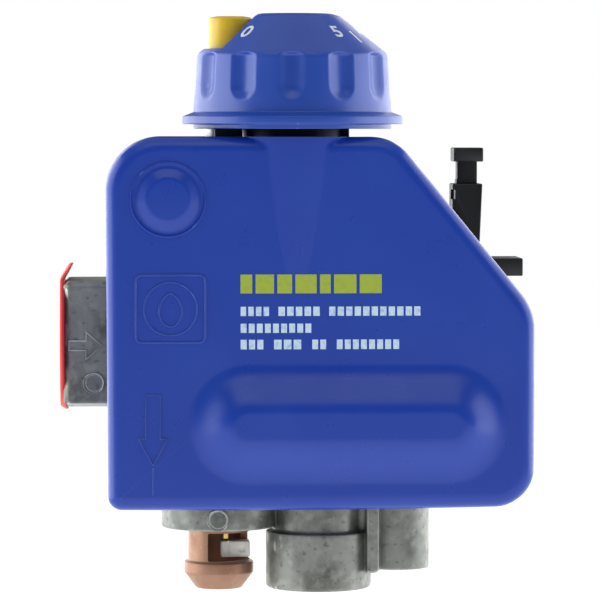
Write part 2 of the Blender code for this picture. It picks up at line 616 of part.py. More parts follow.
def build_shank(steel, copper):
    shank = turned("tank_shank", "Y", (0, 0),
                   [(12.9, 26.0), (SHANK_THREAD, 7.0), (12.6, 6.3), (17.5, 6.0), (17.5, 0.3),
                    (9.5, 0.3), (9.5, -5.7), (5.1, -5.7), (5.1, 26.0)], steel, closed=True, sides=36)
    for number in range(6):
        angle = math.radians(60 * number)
        flat = block(f"shank_flat_{number + 1}", (16.0, 20.0), (0.1, 6.2), (-12, 12))
        flat.matrix_world = Matrix.Rotation(angle, 4, "Y")
        cut(shank, flat)
    turned("probe_tube", "Y", (0, 0),
           [(0, PROBE_END), (3.0, PROBE_END - 0.9), (PROBE_RADIUS, PROBE_END - 3.5),
            (PROBE_RADIUS, -5.2), (2.2, -5.2), (2.2, 144), (0, 145)], copper, sides=24)


def build_inlet(red, steel):
    middle = (sum(INLET_Y) / 2, sum(INLET_Z) / 2)
    cap = rod("inlet_cap", "X", CAP_CENTRE, (-59.1, -58.4), CAP_RADIUS, red, sides=32)
    fuse(cap, rod("cap_plug", "X", middle, (-58.6, -50), INLET_BORE - GAP))
    cut(cap, rod("cap_hollow", "X", middle, (-58.0, -49), 7.6))
    turned("inlet_strainer", "X", middle,
           [(0, -34), (9.0, -34), (9.0, -46), (7.9, -46), (7.9, -35), (0, -35)], steel)


def build_igniter(black, brass, steel):
    x = IGNITER_X
    y = IGNITER_Y
    outline = [(x[0], IGNITER_Z[0]), (x[1] - 1.4, IGNITER_Z[0]), (x[1] - 0.7, 19.8),
               (x[1], IGNITER_Z[1]), (x[0], IGNITER_Z[1])]
    body = plate("piezo_body", "Y", outline, y, black)
    bore_y = (y[0] + 2.1, y[1] - 2.1)
    cut(body, block("plunger_bore", (43.2, 48.5), bore_y, (2, 40)))
    cut(body, block("plunger_mouth", (43.2, 49.2), bore_y, (30.5, 40)))
    cut(body, block("case_notch", (40, x[0] + 0.7), (y[0] - 1, y[0] + 5), (31.8, 34.4)))
    cut(body, rod("terminal_hole", "Z", IGNITER_AXIS, (-16, 3), 1.2, sides=12))
    stem_y = (bore_y[0] + GAP, bore_y[1] - GAP)
    origin = (*IGNITER_AXIS, IGNITER_Z[1])
    plunger = block("piezo_plunger", (42.6, 50.3), y, (41.6, PLUNGER_TOP), black, origin=origin)
    fuse(plunger, block("plunger_neck", (43.7, 48.9), stem_y, (35.9, 42)))
    fuse(plunger, block("plunger_stem", (43.5, 48.2), stem_y, (12.4, 37)))
    coil("piezo_spring", "Z", IGNITER_AXIS, (2.4, 12.0), 1.9, 5, 0.35, steel)
    bracket = block("piezo_bracket", (36.4, 60.3), (-23, -7.5), BRACKET_Z, black, edge=0.4)
    fuse(bracket, block("bracket_foot", (36.4, 38.6), (-21, -9), (-1, 14), edge=0.4))
    cut(bracket, block("bracket_window", (x[0] - GAP, x[1] + 0.1), (y[0] - GAP, y[1] + GAP), (8, 20)))
    cut(bracket, rod("bracket_hole", "X", BRACKET_SCREW, (35, 40), SCREW_HOLE, sides=16))
    turned("bracket_screw", "X", BRACKET_SCREW,
           [(0, 41.0), (2.2, 41.0), (2.8, 40.3), (2.8, 38.9), (SCREW_SHANK, 38.9),
            (SCREW_SHANK, 31.2), (0, 30.8)],
           steel, sides=16)
    turned("piezo_terminal", "Z", IGNITER_AXIS,
           [(0, 1.4), (0.9, 1.4), (0.9, -14.3), (2.2, -14.3), (2.2, -15.4), (1.1, -15.4),
            (1.1, -19.6), (0, -20.0)], brass, sides=12)


def main():
    clear_scene()
    for key, name in (("parts", "gas_valve"), ("tools", "shaping_tools")):
        COLLECTIONS[key] = bpy.data.collections.new(name)
        bpy.context.scene.collection.children.link(COLLECTIONS[key])
    blue = make_material("blue_enamel", (0.035, 0.06, 0.36), 0.35)
    blue_plastic = make_material("blue_plastic", (0.035, 0.06, 0.36), 0.3)
    yellow = make_material("yellow_plastic", (0.68, 0.45, 0.02), 0.35)
    red = make_material("red_plastic", (0.85, 0.04, 0.03), 0.35)
    black = make_material("black_plastic", (0.015, 0.015, 0.015), 0.4)
    white = make_material("white_plastic", (0.6, 0.6, 0.56), 0.4)
    alloy = make_material("cast_alloy", (0.35, 0.36, 0.35), 0.5, 1.0)
    steel = make_material("plated_steel", (0.6, 0.6, 0.6), 0.3, 1.0)
    copper = make_material("copper", (0.72, 0.38, 0.22), 0.3, 1.0)
    brass = make_material("brass", (0.75, 0.6, 0.3), 0.35, 1.0)
    rubber = make_material("rubber", (0.02, 0.02, 0.02), 0.7)
    build_body(alloy)
    build_cover(blue)
    build_cover_screws(steel)
    build_knob(blue_plastic)
    build_button(yellow, steel)
    build_cock(brass, steel)
    build_bearing_plate(black)
    build_bearing_screws(steel)
    build_safety_valve(steel, rubber, brass, copper, white)
    build_front_plate(alloy, rubber, steel)
    build_regulator(alloy, rubber, steel)
    build_thermostat(steel, rubber)
    build_shank(steel, copper)
    build_inlet(red, steel)
    build_igniter(black, brass, steel)
    for item in COLLECTIONS["parts"].objects:
        smooth(item)


main()
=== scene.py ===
"""Visible form and materials of a storage water heater's gas control valve.

Every number is a millimetre in the CAD frame unless its name says otherwise; MM turns it into metres.
Frame: +X right and +Z up as seen from the front, +Y towards the tank.
"""
import json
import math

import bmesh
import bpy
from mathutils import Matrix, Vector, noise


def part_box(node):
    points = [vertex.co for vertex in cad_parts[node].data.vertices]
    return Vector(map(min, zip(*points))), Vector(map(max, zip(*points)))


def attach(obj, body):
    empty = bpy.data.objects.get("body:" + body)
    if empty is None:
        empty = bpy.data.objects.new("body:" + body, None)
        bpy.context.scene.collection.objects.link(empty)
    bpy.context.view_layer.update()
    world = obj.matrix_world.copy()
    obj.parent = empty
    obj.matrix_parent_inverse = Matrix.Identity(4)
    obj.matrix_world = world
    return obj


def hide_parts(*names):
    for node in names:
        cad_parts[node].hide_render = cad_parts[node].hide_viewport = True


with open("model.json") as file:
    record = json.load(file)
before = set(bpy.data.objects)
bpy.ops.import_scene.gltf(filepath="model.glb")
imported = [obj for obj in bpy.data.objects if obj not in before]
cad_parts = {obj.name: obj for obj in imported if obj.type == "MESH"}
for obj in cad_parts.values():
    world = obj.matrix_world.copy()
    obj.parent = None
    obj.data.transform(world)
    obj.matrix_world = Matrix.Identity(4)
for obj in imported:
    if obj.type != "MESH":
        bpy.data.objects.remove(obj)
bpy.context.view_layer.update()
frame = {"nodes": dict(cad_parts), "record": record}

MM = 0.001
TAU = math.tau


def span(node):
    """Lowest and highest corner of a CAD node, in millimetres."""
    low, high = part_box(node)
    return low / MM, high / MM


def middle_of(node):
    low, high = span(node)
    return (low + high) / 2


# ---------------------------------------------------------------- places read from the frame

COVER_LOW, COVER_HIGH = span("cover")
KNOB_LOW, KNOB_HIGH = span("control_knob")
KNOB_MIDDLE = middle_of("control_knob")
KNOB_X, KNOB_Y = KNOB_MIDDLE.x, KNOB_MIDDLE.y
BUTTON_LOW, BUTTON_HIGH = span("pilot_button")
BUTTON_X = middle_of("pilot_button").x
BODY_LOW, BODY_HIGH = span("valve_body")
CAP_LOW, CAP_HIGH = span("inlet_cap")
SLEEVE_LOW, SLEEVE_HIGH = span("thermocouple_sleeve")
SAFETY_X = middle_of("thermocouple_sleeve").x

PILLOW_HEIGHT = 5.5
FRONT_Y = COVER_LOW.y + PILLOW_HEIGHT         # the cover's flat front plane
RIM_Y = -32.0
WALL = 2.0
FILLET = 3.4
COVER_OUTLINE = [                             # x, z, corner radius, counter-clockwise from top left
    (-47.5, 48.3, 14.0),
    (-47.0, -44.7, 3.5),
    (59.7, -44.2, 10.0),
    (59.7, 4.9, 14.5),
    (24.4, 48.2, 12.0),
]
BLOCK_TOP_Z, BLOCK_BOTTOM_Z = 11.6, -21.0     # just clear of the inlet block
OUTLET_X, OUTLET_Y = 6.6, KNOB_Y
PILOT_X = 26.3
SCREW_HOLE, SCREW_SHANK = 1.8, 1.5


# ---------------------------------------------------------------- materials

def linear(red, green, blue):
    """Linear colour of an sRGB one given in 0 to 255."""
    values = []
    for part in (red, green, blue):
        share = part / 255
        values.append(share / 12.92 if share <= 0.04045 else ((share + 0.055) / 1.055) ** 2.4)
    return (*values, 1.0)


class Finish:
    """Builds one Principled material from layers that read the object's own coordinates."""

    def __init__(self, name, colour, roughness, metallic=0.0, specular=0.5):
        self.material = bpy.data.materials.new(name)
        self.material.use_nodes = True
        self.tree = self.material.node_tree
        self.shader = self.tree.nodes["Principled BSDF"]
        self.shader.inputs["Base Color"].default_value = colour
        self.shader.inputs["Roughness"].default_value = roughness
        self.shader.inputs["Metallic"].default_value = metallic
        self.shader.inputs["Specular IOR Level"].default_value = specular
        self.coordinates = self.tree.nodes.new("ShaderNodeTexCoord")
        self.colour = colour
        self.colour_socket = None
        self.height_socket = None

    def link(self, source, target):
        self.tree.links.new(source, target)

    def noise(self, scale, detail=3.0):
        node = self.tree.nodes.new("ShaderNodeTexNoise")
        node.inputs["Scale"].default_value = scale
        node.inputs["Detail"].default_value = detail
        self.link(self.coordinates.outputs["Object"], node.inputs["Vector"])
        return node.outputs["Fac"]

    def ramp(self, value, low, high, start=0.0, stop=1.0):
        node = self.tree.nodes.new("ShaderNodeMapRange")
        node.inputs["From Min"].default_value = low
        node.inputs["From Max"].default_value = high
        node.inputs["To Min"].default_value = start
        node.inputs["To Max"].default_value = stop
        self.link(value, node.inputs["Value"])
        return node.outputs["Result"]

    def tint(self, value, other):
        """Mixes another colour in where the value is high."""
        node = self.tree.nodes.new("ShaderNodeMix")
        node.data_type = "RGBA"
        self.link(value, node.inputs["Factor"])
        if self.colour_socket is None:
            node.inputs["A"].default_value = self.colour
        else:
            self.link(self.colour_socket, node.inputs["A"])
        node.inputs["B"].default_value = other
        self.colour_socket = node.outputs["Result"]
        self.link(self.colour_socket, self.shader.inputs["Base Color"])
        return self

    def mottle(self, scale, other, low=0.45, high=0.65, amount=1.0, detail=4.0):
        return self.tint(self.ramp(self.noise(scale, detail), low, high, 0.0, amount), other)

    def edges(self, other, low=0.52, high=0.6, amount=1.0):
        """Painted highlight: lighter colour along convex edges, standing in for light that catches them.
        """
        geometry = self.tree.nodes.new("ShaderNodeNewGeometry")
        return self.tint(self.ramp(geometry.outputs["Pointiness"], low, high, 0.0, amount), other)

    def painted_hollow_shade(self, other, low=0.48, high=0.4, amount=1.0):
        """Painted shade: darker colour in concave corners, where shade falls."""
        geometry = self.tree.nodes.new("ShaderNodeNewGeometry")
        return self.tint(self.ramp(geometry.outputs["Pointiness"], low, high, 0.0, amount), other)

    def polish(self, scale, low, high):
        """Roughness that wanders between two values."""
        self.link(self.ramp(self.noise(scale), 0.3, 0.7, low, high), self.shader.inputs["Roughness"])
        return self

    def bump(self, scale, distance, strength=1.0, detail=3.0):
        node = self.tree.nodes.new("ShaderNodeBump")
        node.inputs["Strength"].default_value = strength
        node.inputs["Distance"].default_value = distance * MM
        self.link(self.noise(scale, detail), node.inputs["Height"])
        if self.height_socket is not None:
            self.link(self.height_socket, node.inputs["Normal"])
        self.height_socket = node.outputs["Normal"]
        self.link(self.height_socket, self.shader.inputs["Normal"])
        return self


def make_finishes():
    made = {}
    made["enamel"] = (Finish("cover_enamel", linear(20, 59, 162), 0.3, specular=0.42)
                      .mottle(45, linear(25, 65, 166), amount=0.5)
                      # painted highlight: lighter blue along the convex edges and fillets
                      .edges(linear(92, 122, 200), 0.53, 0.62, 0.4)
                      .polish(120, 0.26, 0.35)
                      .bump(700, 0.02, 0.5).bump(60, 0.08, 0.3))
    made["blue_plastic"] = (Finish("knob_plastic", linear(20, 66, 164), 0.36, specular=0.62)
                            .mottle(60, linear(25, 71, 168), amount=0.5)
                            # painted highlight: lighter blue along the convex edges
                            .edges(linear(90, 120, 200), 0.53, 0.62, 0.4)
                            .polish(160, 0.32, 0.42)
                            .bump(1400, 0.01, 0.4))
    made["yellow"] = (Finish("button_plastic", linear(222, 186, 40), 0.35)
                      .mottle(220, linear(205, 165, 30), amount=0.5)
                      .polish(200, 0.3, 0.42).bump(1500, 0.01, 0.4))
    made["red"] = (Finish("cap_polythene", linear(240, 58, 52), 0.42)
                   .mottle(120, linear(225, 46, 42), amount=0.6)
                   .polish(150, 0.36, 0.5).bump(900, 0.015, 0.4))
    made["black"] = (Finish("black_plastic", linear(9, 10, 10), 0.42, specular=0.4)
                     .mottle(150, linear(15, 16, 16), amount=0.6)
                     # painted highlight: grey along the convex edges
                     .edges(linear(58, 60, 58), 0.54, 0.64, 0.5)
                     .polish(180, 0.34, 0.5).bump(1600, 0.012, 0.5))
    made["white"] = (Finish("connector_plastic", linear(240, 239, 235), 0.45)
                     .mottle(400, linear(227, 225, 219), amount=0.6)
                     .polish(300, 0.38, 0.52).bump(1800, 0.01, 0.4))
    made["cast"] = (Finish("cast_alloy", linear(137, 140, 135), 0.5, metallic=0.5)
                    .mottle(110, linear(98, 102, 96), amount=0.9)
                    .mottle(420, linear(158, 161, 154), 0.52, 0.68, 0.5)
                    .mottle(700, linear(74, 78, 74), 0.6, 0.72, 0.7)
                    # painted shade in the concave corners and painted highlight along the convex edges
                    .painted_hollow_shade(linear(66, 68, 66), 0.49, 0.43, 0.8)
                    .edges(linear(200, 203, 198), 0.52, 0.59, 0.85)
                    .polish(260, 0.4, 0.62)
                    .bump(1500, 0.03, 0.6, 6.0).bump(180, 0.08, 0.35))
    made["steel"] = (Finish("plated_steel", linear(196, 196, 190), 0.3, metallic=1.0)
                     .mottle(260, linear(170, 168, 158), amount=0.6)
                     # painted highlight along the convex edges
                     .edges(linear(222, 222, 218), 0.53, 0.62, 0.5)
                     .polish(320, 0.22, 0.42).bump(1800, 0.008, 0.4))
    made["thread"] = (Finish("threaded_steel", linear(176, 176, 170), 0.36, metallic=1.0)
                      .mottle(300, linear(150, 146, 134), amount=0.7)
                      # painted shade in the thread roots and other concave corners
                      .painted_hollow_shade(linear(92, 90, 84), 0.47, 0.4, 0.8)
                      .polish(320, 0.28, 0.5).bump(1600, 0.012, 0.5))
    made["copper"] = (Finish("copper_plate", linear(158, 120, 98), 0.45, metallic=0.45)
                      .mottle(240, linear(146, 104, 82), amount=0.6)
                      .mottle(700, linear(160, 146, 100), 0.55, 0.7, 0.5)
                      # painted shade in the concave corners
                      .painted_hollow_shade(linear(120, 78, 56), 0.48, 0.4, 0.8)
                      .polish(340, 0.36, 0.55).bump(1500, 0.012, 0.5))
    made["brass"] = (Finish("brass", linear(212, 184, 110), 0.32, metallic=1.0)
                     .mottle(300, linear(180, 148, 80), amount=0.6)
                     .polish(300, 0.25, 0.4).bump(1600, 0.01, 0.4))
    made["rubber"] = (Finish("nitrile_rubber", linear(34, 34, 34), 0.7)
                      .mottle(400, linear(48, 47, 45), amount=0.7)
                      .polish(300, 0.6, 0.8).bump(1500, 0.02, 0.6))
    made["pale_print"] = (Finish("pale_print", linear(196, 222, 240), 0.5)
                          .mottle(900, linear(140, 170, 215), 0.5, 0.7, 0.7, 5.0).bump(2000, 0.01, 0.3))
    made["green_print"] = (Finish("green_print", linear(158, 178, 56), 0.5)
                           .mottle(900, linear(132, 154, 66), 0.5, 0.7, 0.4, 5.0).bump(2000, 0.01, 0.3))
    made["mark"] = (Finish("dial_mark", linear(214, 220, 230), 0.5)
                    .mottle(900, linear(170, 180, 205), 0.5, 0.7, 0.6, 5.0).bump(2000, 0.01, 0.3))
    return {name: made[name].material for name in made}


FINISH = make_finishes()
SLOT_FINISH = {
    "blue_enamel": "enamel", "blue_plastic": "blue_plastic", "yellow_plastic": "yellow",
    "red_plastic": "red", "black_plastic": "black", "white_plastic": "white", "cast_alloy": "cast",
    "plated_steel": "steel", "copper": "copper", "brass": "brass", "rubber": "rubber",
}


# ---------------------------------------------------------------- shaping helpers

def mesh_object(name, bm, recalculate=True):
    if recalculate:
        bmesh.ops.recalc_face_normals(bm, faces=bm.faces)
    mesh = bpy.data.meshes.new(name)
    bm.to_mesh(mesh)
    bm.free()
    made = bpy.data.objects.new(name, mesh)
    bpy.context.scene.collection.objects.link(made)
    return made


def settle(item, finish, body="root", replaced=(), crease=32.0):
    """Gives a piece its finish, its body and the CAD nodes that it stands for."""
    item.data.materials.clear()
    item.data.materials.append(FINISH[finish])
    if item.type == "MESH":
        item.data.shade_smooth()
        item.data.set_sharp_from_angle(angle=math.radians(crease))
    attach(item, body)
    if replaced:
        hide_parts(*replaced)
    return item


def axis_frame(axis, centre):
    """Matrix whose Z runs along the named axis, through the other two coordinates."""
    if axis == "X":
        place = (0.0, centre[0], centre[1])
        turn = Matrix.Rotation(math.radians(90), 4, "Y")
    elif axis == "Y":
        place = (centre[0], 0.0, centre[1])
        turn = Matrix.Rotation(math.radians(-90), 4, "X")
    else:
        place = (centre[0], centre[1], 0.0)
        turn = Matrix.Identity(4)
    return Matrix.Translation(Vector(place) * MM) @ turn


def soften(corners, step=0.5):
    """Open profile through (r, z, fillet) corners, with an arc at each fillet."""
    points = [tuple(corners[0][:2])]
    for index in range(1, len(corners) - 1):
        here = Vector(corners[index][:2])
        last = Vector(corners[index - 1][:2])
        following = Vector(corners[index + 1][:2])
        radius = corners[index][2] if len(corners[index]) > 2 else 0.0
        to_last = (last - here).normalized()
        to_next = (following - here).normalized()
        angle = to_last.angle(to_next)
        if radius <= 0 or angle > math.radians(178):
            points.append(tuple(here))
            continue
        reach = radius / math.tan(angle / 2)
        reach = min(reach, 0.48 * (last - here).length, 0.48 * (following - here).length)
        radius = reach * math.tan(angle / 2)
        centre = here + (to_last + to_next).normalized() * (radius / math.sin(angle / 2))
        start = here + to_last * reach - centre
        stop = here + to_next * reach - centre
        sweep = start.angle_signed(stop)
        count = max(2, int(abs(sweep) * radius / step) + 2)
        for number in range(count + 1):
            points.append(tuple(centre + Matrix.Rotation(-sweep * number / count, 2) @ start))
    points.append(tuple(corners[-1][:2]))
    return points


def refine(points, step):
    """Splits a profile's long stretches."""
    fine = [points[0]]
    for start, stop in zip(points, points[1:]):
        count = max(1, math.ceil(math.dist(start, stop) / step))
        for number in range(1, count + 1):
            share = number / count
            fine.append((start[0] + (stop[0] - start[0]) * share, start[1] + (stop[1] - start[1]) * share))
    return fine


def sweep_rings(bm, rings, loop=False):
    """Quads between rings of points in metres; a ring of one point is a pole."""
    made = []
    for ring in rings:
        made.append([bm.verts.new(point) for point in ring])
    pairs = list(zip(made, made[1:]))
    if loop:
        pairs.append((made[-1], made[0]))
    for first, second in pairs:
        count = max(len(first), len(second))
        for index in range(count):
            after = (index + 1) % count
            corners = []
            for corner in (first[index % len(first)], first[after % len(first)],
                           second[after % len(second)], second[index % len(second)]):
                if corner not in corners:
                    corners.append(corner)
            bm.faces.new(corners)
    return made


def capped(name, rings):
    """Solid between rings of points in metres, closed at both ends."""
    bm = bmesh.new()
    made = sweep_rings(bm, rings)
    bm.faces.new(made[0])
    bm.faces.new(made[-1])
    return mesh_object(name, bm)


def bevelled(item, width, segments):
    """Rounds a piece's edges."""
    bevel = item.modifiers.new("edges", "BEVEL")
    bevel.width = width * MM
    bevel.segments = segments
    return bake(item)


def lathe(name, profile, axis="Z", centre=(0.0, 0.0), steps=96, loop=False, shape=None):
    """Turned form; shape(radius, height, angle) may return another radius."""
    bm = bmesh.new()
    turn = axis_frame(axis, centre)
    rings = []
    for radius, height in profile:
        if radius < 0.0001:
            rings.append([turn @ Vector((0.0, 0.0, height * MM))])
            continue
        ring = []
        for step in range(steps):
            angle = TAU * step / steps
            reach = shape(radius, height, angle) if shape else radius
            place = Vector((reach * math.cos(angle), reach * math.sin(angle), height))
            ring.append(turn @ (place * MM))
        rings.append(ring)
    sweep_rings(bm, rings, loop)
    return mesh_object(name, bm)


def soft_box(name, x, y, z, radius=0.4):
    bm = bmesh.new()
    bmesh.ops.create_cube(bm, size=1.0)
    for vert in bm.verts:
        vert.co = Vector([(limits[0] + (limits[1] - limits[0]) * (vert.co[i] + 0.5)) * MM
                          for i, limits in enumerate((x, y, z))])
    if radius:
        bmesh.ops.bevel(bm, geom=bm.edges[:], offset=radius * MM, segments=3, affect="EDGES", profile=0.5)
    return mesh_object(name, bm)


def node_box(name, node, radius):
    """Rounded box as large as a CAD node."""
    low, high = span(node)
    return soft_box(name, (low.x, high.x), (low.y, high.y), (low.z, high.z), radius)


def prism(name, outline, axis, limits):
    """Solid from a closed outline: in x, z for axis Y, in x, y for axis Z, in y, z for axis X."""
    rings = []
    for height in limits:
        ring = []
        for u, v in outline:
            point = {"X": (height, u, v), "Y": (u, height, v), "Z": (u, v, height)}[axis]
            ring.append(Vector(point) * MM)
        rings.append(ring)
    return capped(name, rings)


def combine(target, tool, operation="DIFFERENCE"):
    """Boolean of two meshes, applied at once."""
    step = target.modifiers.new("step", "BOOLEAN")
    step.operation = operation
    step.solver = "EXACT"
    step.object = tool
    bake(target)
    bpy.data.objects.remove(tool, do_unlink=True)
    return target


def drilled(target, axis, centre, limits, radius, steps=96):
    """Cuts a round hole along an axis."""
    tool = lathe("drill", [(0, limits[0]), (radius, limits[0]), (radius, limits[1]), (0, limits[1])],
                 axis, centre, steps)
    return combine(target, tool)


def bake(item):
    """Applies the modifiers of a piece."""
    bpy.context.view_layer.update()
    evaluated = item.evaluated_get(bpy.context.evaluated_depsgraph_get())
    mesh = bpy.data.meshes.new_from_object(evaluated)
    item.modifiers.clear()
    old = item.data
    item.data = mesh
    bpy.data.meshes.remove(old)
    return item


def wire(name, points, radius, finish, body="root", closed=False, replaced=()):
    """Round-section line through points in millimetres."""
    curve = bpy.data.curves.new(name, "CURVE")
    curve.dimensions = "3D"
    curve.bevel_depth = radius * MM
    curve.bevel_resolution = 3
    curve.use_fill_caps = True
    spline = curve.splines.new("POLY")
    spline.points.add(len(points) - 1)
    for point, place in zip(spline.points, points):
        point.co = (*(Vector(place) * MM), 1.0)
    spline.use_cyclic_u = closed
    made = bpy.data.objects.new(name, curve)
    bpy.context.scene.collection.objects.link(made)
    return settle(made, finish, body, replaced)


def arc_points(centre, radius, start, stop, count):
    """Points of an arc in a plane, angles in degrees."""
    points = []
    for number in range(count + 1):
        angle = math.radians(start + (stop - start) * number / count)
        points.append((centre[0] + radius * math.cos(angle), centre[1] + radius * math.sin(angle)))
    return points


# ---------------------------------------------------------------- cover

def outline_samples(corners, step):
    """Points (x, z, normal x, normal z) round a convex outline, counter-clockwise from above-left."""
    samples = []
    arcs = []
    count = len(corners)
    for index, (x, z, radius) in enumerate(corners):
        here = Vector((x, z))
        to_last = (Vector(corners[index - 1][:2]) - here).normalized()
        to_next = (Vector(corners[(index + 1) % count][:2]) - here).normalized()
        half = to_last.angle(to_next) / 2
        centre = here + (to_last + to_next).normalized() * (radius / math.sin(half))
        start = (here + to_last * (radius / math.tan(half)) - centre).normalized()
        stop = (here + to_next * (radius / math.tan(half)) - centre).normalized()
        arcs.append((centre, radius, start, start.angle_signed(stop)))
    for index, (centre, radius, start, sweep) in enumerate(arcs):
        steps = max(6, int(abs(sweep) * radius / step))
        for number in range(steps + 1):
            normal = Matrix.Rotation(-sweep * number / steps, 2) @ start
            place = centre + normal * radius
            samples.append((place.x, place.y, normal.x, normal.y))
        following = arcs[(index + 1) % count]
        begin = centre + (Matrix.Rotation(-sweep, 2) @ start) * radius
        end = following[0] + following[2] * following[1]
        pieces = max(1, int((end - begin).length / step))
        for number in range(1, pieces):
            place = begin.lerp(end, number / pieces)
            samples.append((place.x, place.y, following[2].x, following[2].y))
    return samples


HALF_CONE_BASE_Z = 10.0
HALF_CONE_TOP_Z = 48.4
HALF_CONE_BASE_RADIUS = 22.0
HALF_CONE_SPREAD = 1.3                        # how much wider it is at its top
NOTCH_RADIUS = 21.8


def half_cone_y(x, z):
    """Front of the upright half cone that follows the knob's axis."""
    share = (z - HALF_CONE_BASE_Z) / (HALF_CONE_TOP_Z - HALF_CONE_BASE_Z)
    radius = HALF_CONE_BASE_RADIUS + HALF_CONE_SPREAD * share
    if share < 0 or abs(x - KNOB_X) >= radius:
        return 0.0
    return KNOB_Y - math.sqrt(radius * radius - (x - KNOB_X) ** 2)


PILLOW_Z = -23.35
PILLOW_X = (-12.15, 37.85)
PILLOW_RADIUS = 15.1
PILLOW_SLOPE = 12.0


def pillow_height(x, z):
    """Raised stadium with rounded shoulders and a flat middle."""
    nearest = min(max(x, PILLOW_X[0]), PILLOW_X[1])
    away = math.hypot(x - nearest, z - PILLOW_Z)
    share = min(max((PILLOW_RADIUS - away) / PILLOW_SLOPE, 0.0), 1.0)
    return PILLOW_HEIGHT * share * share * (3 - 2 * share)


def cover_y(x, z):
    """Depth of the cover's front surface away from its edge."""
    plane = FRONT_Y - pillow_height(x, z)
    return min(plane, half_cone_y(x, z))


def cover_rim_y(x, z):
    """How far back the side wall runs: less at the knob's notch and under the casting."""
    if z > 40 and abs(x - KNOB_X) < NOTCH_RADIUS:
        return KNOB_Y - math.sqrt(NOTCH_RADIUS ** 2 - (x - KNOB_X) ** 2)
    if z < -38 and -36 < x < 38:
        return -52.0
    return RIM_Y


def build_cover():
    spacing = 0.6
    samples = outline_samples(COVER_OUTLINE, spacing)
    middle = Vector((6.0, 2.0))
    rings = []
    rows = int(62 / spacing)

    def lay(offset, depth):
        """One ring at an inward offset from the outline, with depth(x, z, rim) giving y."""
        ring = []
        for x, z, nx, nz in samples:
            u = x - nx * offset
            v = z - nz * offset
            if z < -43:
                v -= 0.45 * max(0.0, 1 - ((x - 6) / 52) ** 2)
            ring.append(Vector((u, depth(u, v, cover_rim_y(x, z)), v)) * MM)
        return ring

    def face(share, back):
        ring = []
        for x, z, nx, nz in samples:
            edge = Vector((x - nx * FILLET, z - nz * FILLET))
            place = middle.lerp(edge, share)
            ring.append(Vector((place.x, cover_y(place.x, place.y) + back, place.y)) * MM)
        return ring

    rings.append([Vector((middle.x, cover_y(*middle), middle.y)) * MM])
    for row in range(1, rows + 1):
        rings.append(face(row / rows, 0.0))
    turns = 10
    for number in range(1, turns + 1):
        angle = math.radians(90) * number / turns
        offset = FILLET * (1 - math.sin(angle))
        depth = FRONT_Y + FILLET * (1 - math.cos(angle))
        rings.append(lay(offset, lambda x, z, rim, d=depth: min(d, half_cone_y(x, z), rim - 0.4)))
    edge_round = 0.35
    for share in (0.33, 0.66):
        rings.append(lay(0.0, lambda x, z, rim, s=share: min(
            (FRONT_Y + FILLET) * (1 - s) + rim * s, half_cone_y(x, z) * (1 - s) + rim * s)))
    rings.append(lay(0.0, lambda x, z, rim: rim - edge_round))
    rings.append(lay(edge_round, lambda x, z, rim: rim))
    rings.append(lay(WALL - edge_round, lambda x, z, rim: rim))
    rings.append(lay(WALL, lambda x, z, rim: rim - edge_round))
    rings.append(lay(WALL, lambda x, z, rim: min(FRONT_Y + FILLET, rim - edge_round)))
    rings.append(lay(WALL + 0.5, lambda x, z, rim: min(FRONT_Y + WALL + 0.5, rim - edge_round)))
    for row in range(rows, 0, -2):
        rings.append(face(row / rows * 0.998, WALL))
    rings.append([Vector((middle.x, cover_y(*middle) + WALL, middle.y)) * MM])
    bm = bmesh.new()
    sweep_rings(bm, rings)
    settle(mesh_object("cover_shell", bm), "enamel", replaced=("cover",), crease=40)
    for number, node in enumerate(("cover_screw_1", "cover_screw_2"), 1):
        place = middle_of(node)
        profile = soften([(1.7, -43), (1.7, -30.3), (3.4, -30.3, 0.4), (3.7, FRONT_Y + 1.5, 0),
                          (1.7, FRONT_Y + 1.5)])
        settle(lathe(f"cover_post_{number}", profile, "Y", (place.x, place.z), 48, loop=True),
               "enamel")


def build_badge():
    """Two-step round boss near the cover's upper left corner."""
    y = FRONT_Y
    profile = soften([(0, y - 1.5), (5.4, y - 1.5, 2.0), (7.8, y - 0.1, 1.6), (8.9, y - 0.06, 0.2),
                      (9.05, y - 0.42, 0.12), (9.4, y - 0.42, 0.12), (9.55, y + 0.3), (0, y + 0.3)], 0.25)
    settle(lathe("cover_badge", profile, "Y", (-32.0, 32.7), 120), "enamel")


def laid_line(name, points, radius, closed=True, finish="enamel"):
    """Raised line that lies on the cover's front; points in x, z."""
    places = [(x, cover_y(x, z) - radius * 0.2, z) for x, z in points]
    return wire(name, places, radius, finish, closed=closed)


def build_emblem():
    """Rounded square frame, circle and a plain flame, all as raised lines."""
    centre = (-31.4, 5.6)
    half_width, half_height, corner = 8.6, 8.35, 1.5
    square = []
    for sx, sz, start in ((1, 1, 0), (-1, 1, 90), (-1, -1, 180), (1, -1, 270)):
        hub = (centre[0] + sx * (half_width - corner), centre[1] + sz * (half_height - corner))
        square += arc_points(hub, corner, start, start + 90, 8)
    laid_line("emblem_frame", square, 0.3)
    laid_line("emblem_ring", arc_points(centre, 6.6, 0, 357, 80), 0.26)
    flame = []
    for number in range(40):
        turn = TAU * number / 40
        lean = 0.9 * math.sin(turn * 1.0) * max(0.0, math.cos(turn))
        width = 2.9 * math.sin(turn) * (1 - 0.55 * max(0.0, math.cos(turn)))
        flame.append((centre[0] + width + lean, centre[1] - 0.3 + 4.1 * math.cos(turn)))
    laid_line("emblem_flame", flame, 0.26)


def build_cover_arrow():
    """Raised outline arrow that points down, and the witness line below it."""
    x, top, shoulder, tip = -35.8, -15.8, -26.7, -33.3
    head, shaft = 3.55, 1.85
    outline = [(x - shaft, top), (x + shaft, top), (x + shaft, shoulder), (x + head, shoulder),
               (x, tip), (x - head, shoulder), (x - shaft, shoulder)]
    laid_line("cover_arrow", outline, 0.28)
    laid_line("cover_witness", [(x, tip - 0.6), (x, -40.8)], 0.12, closed=False)


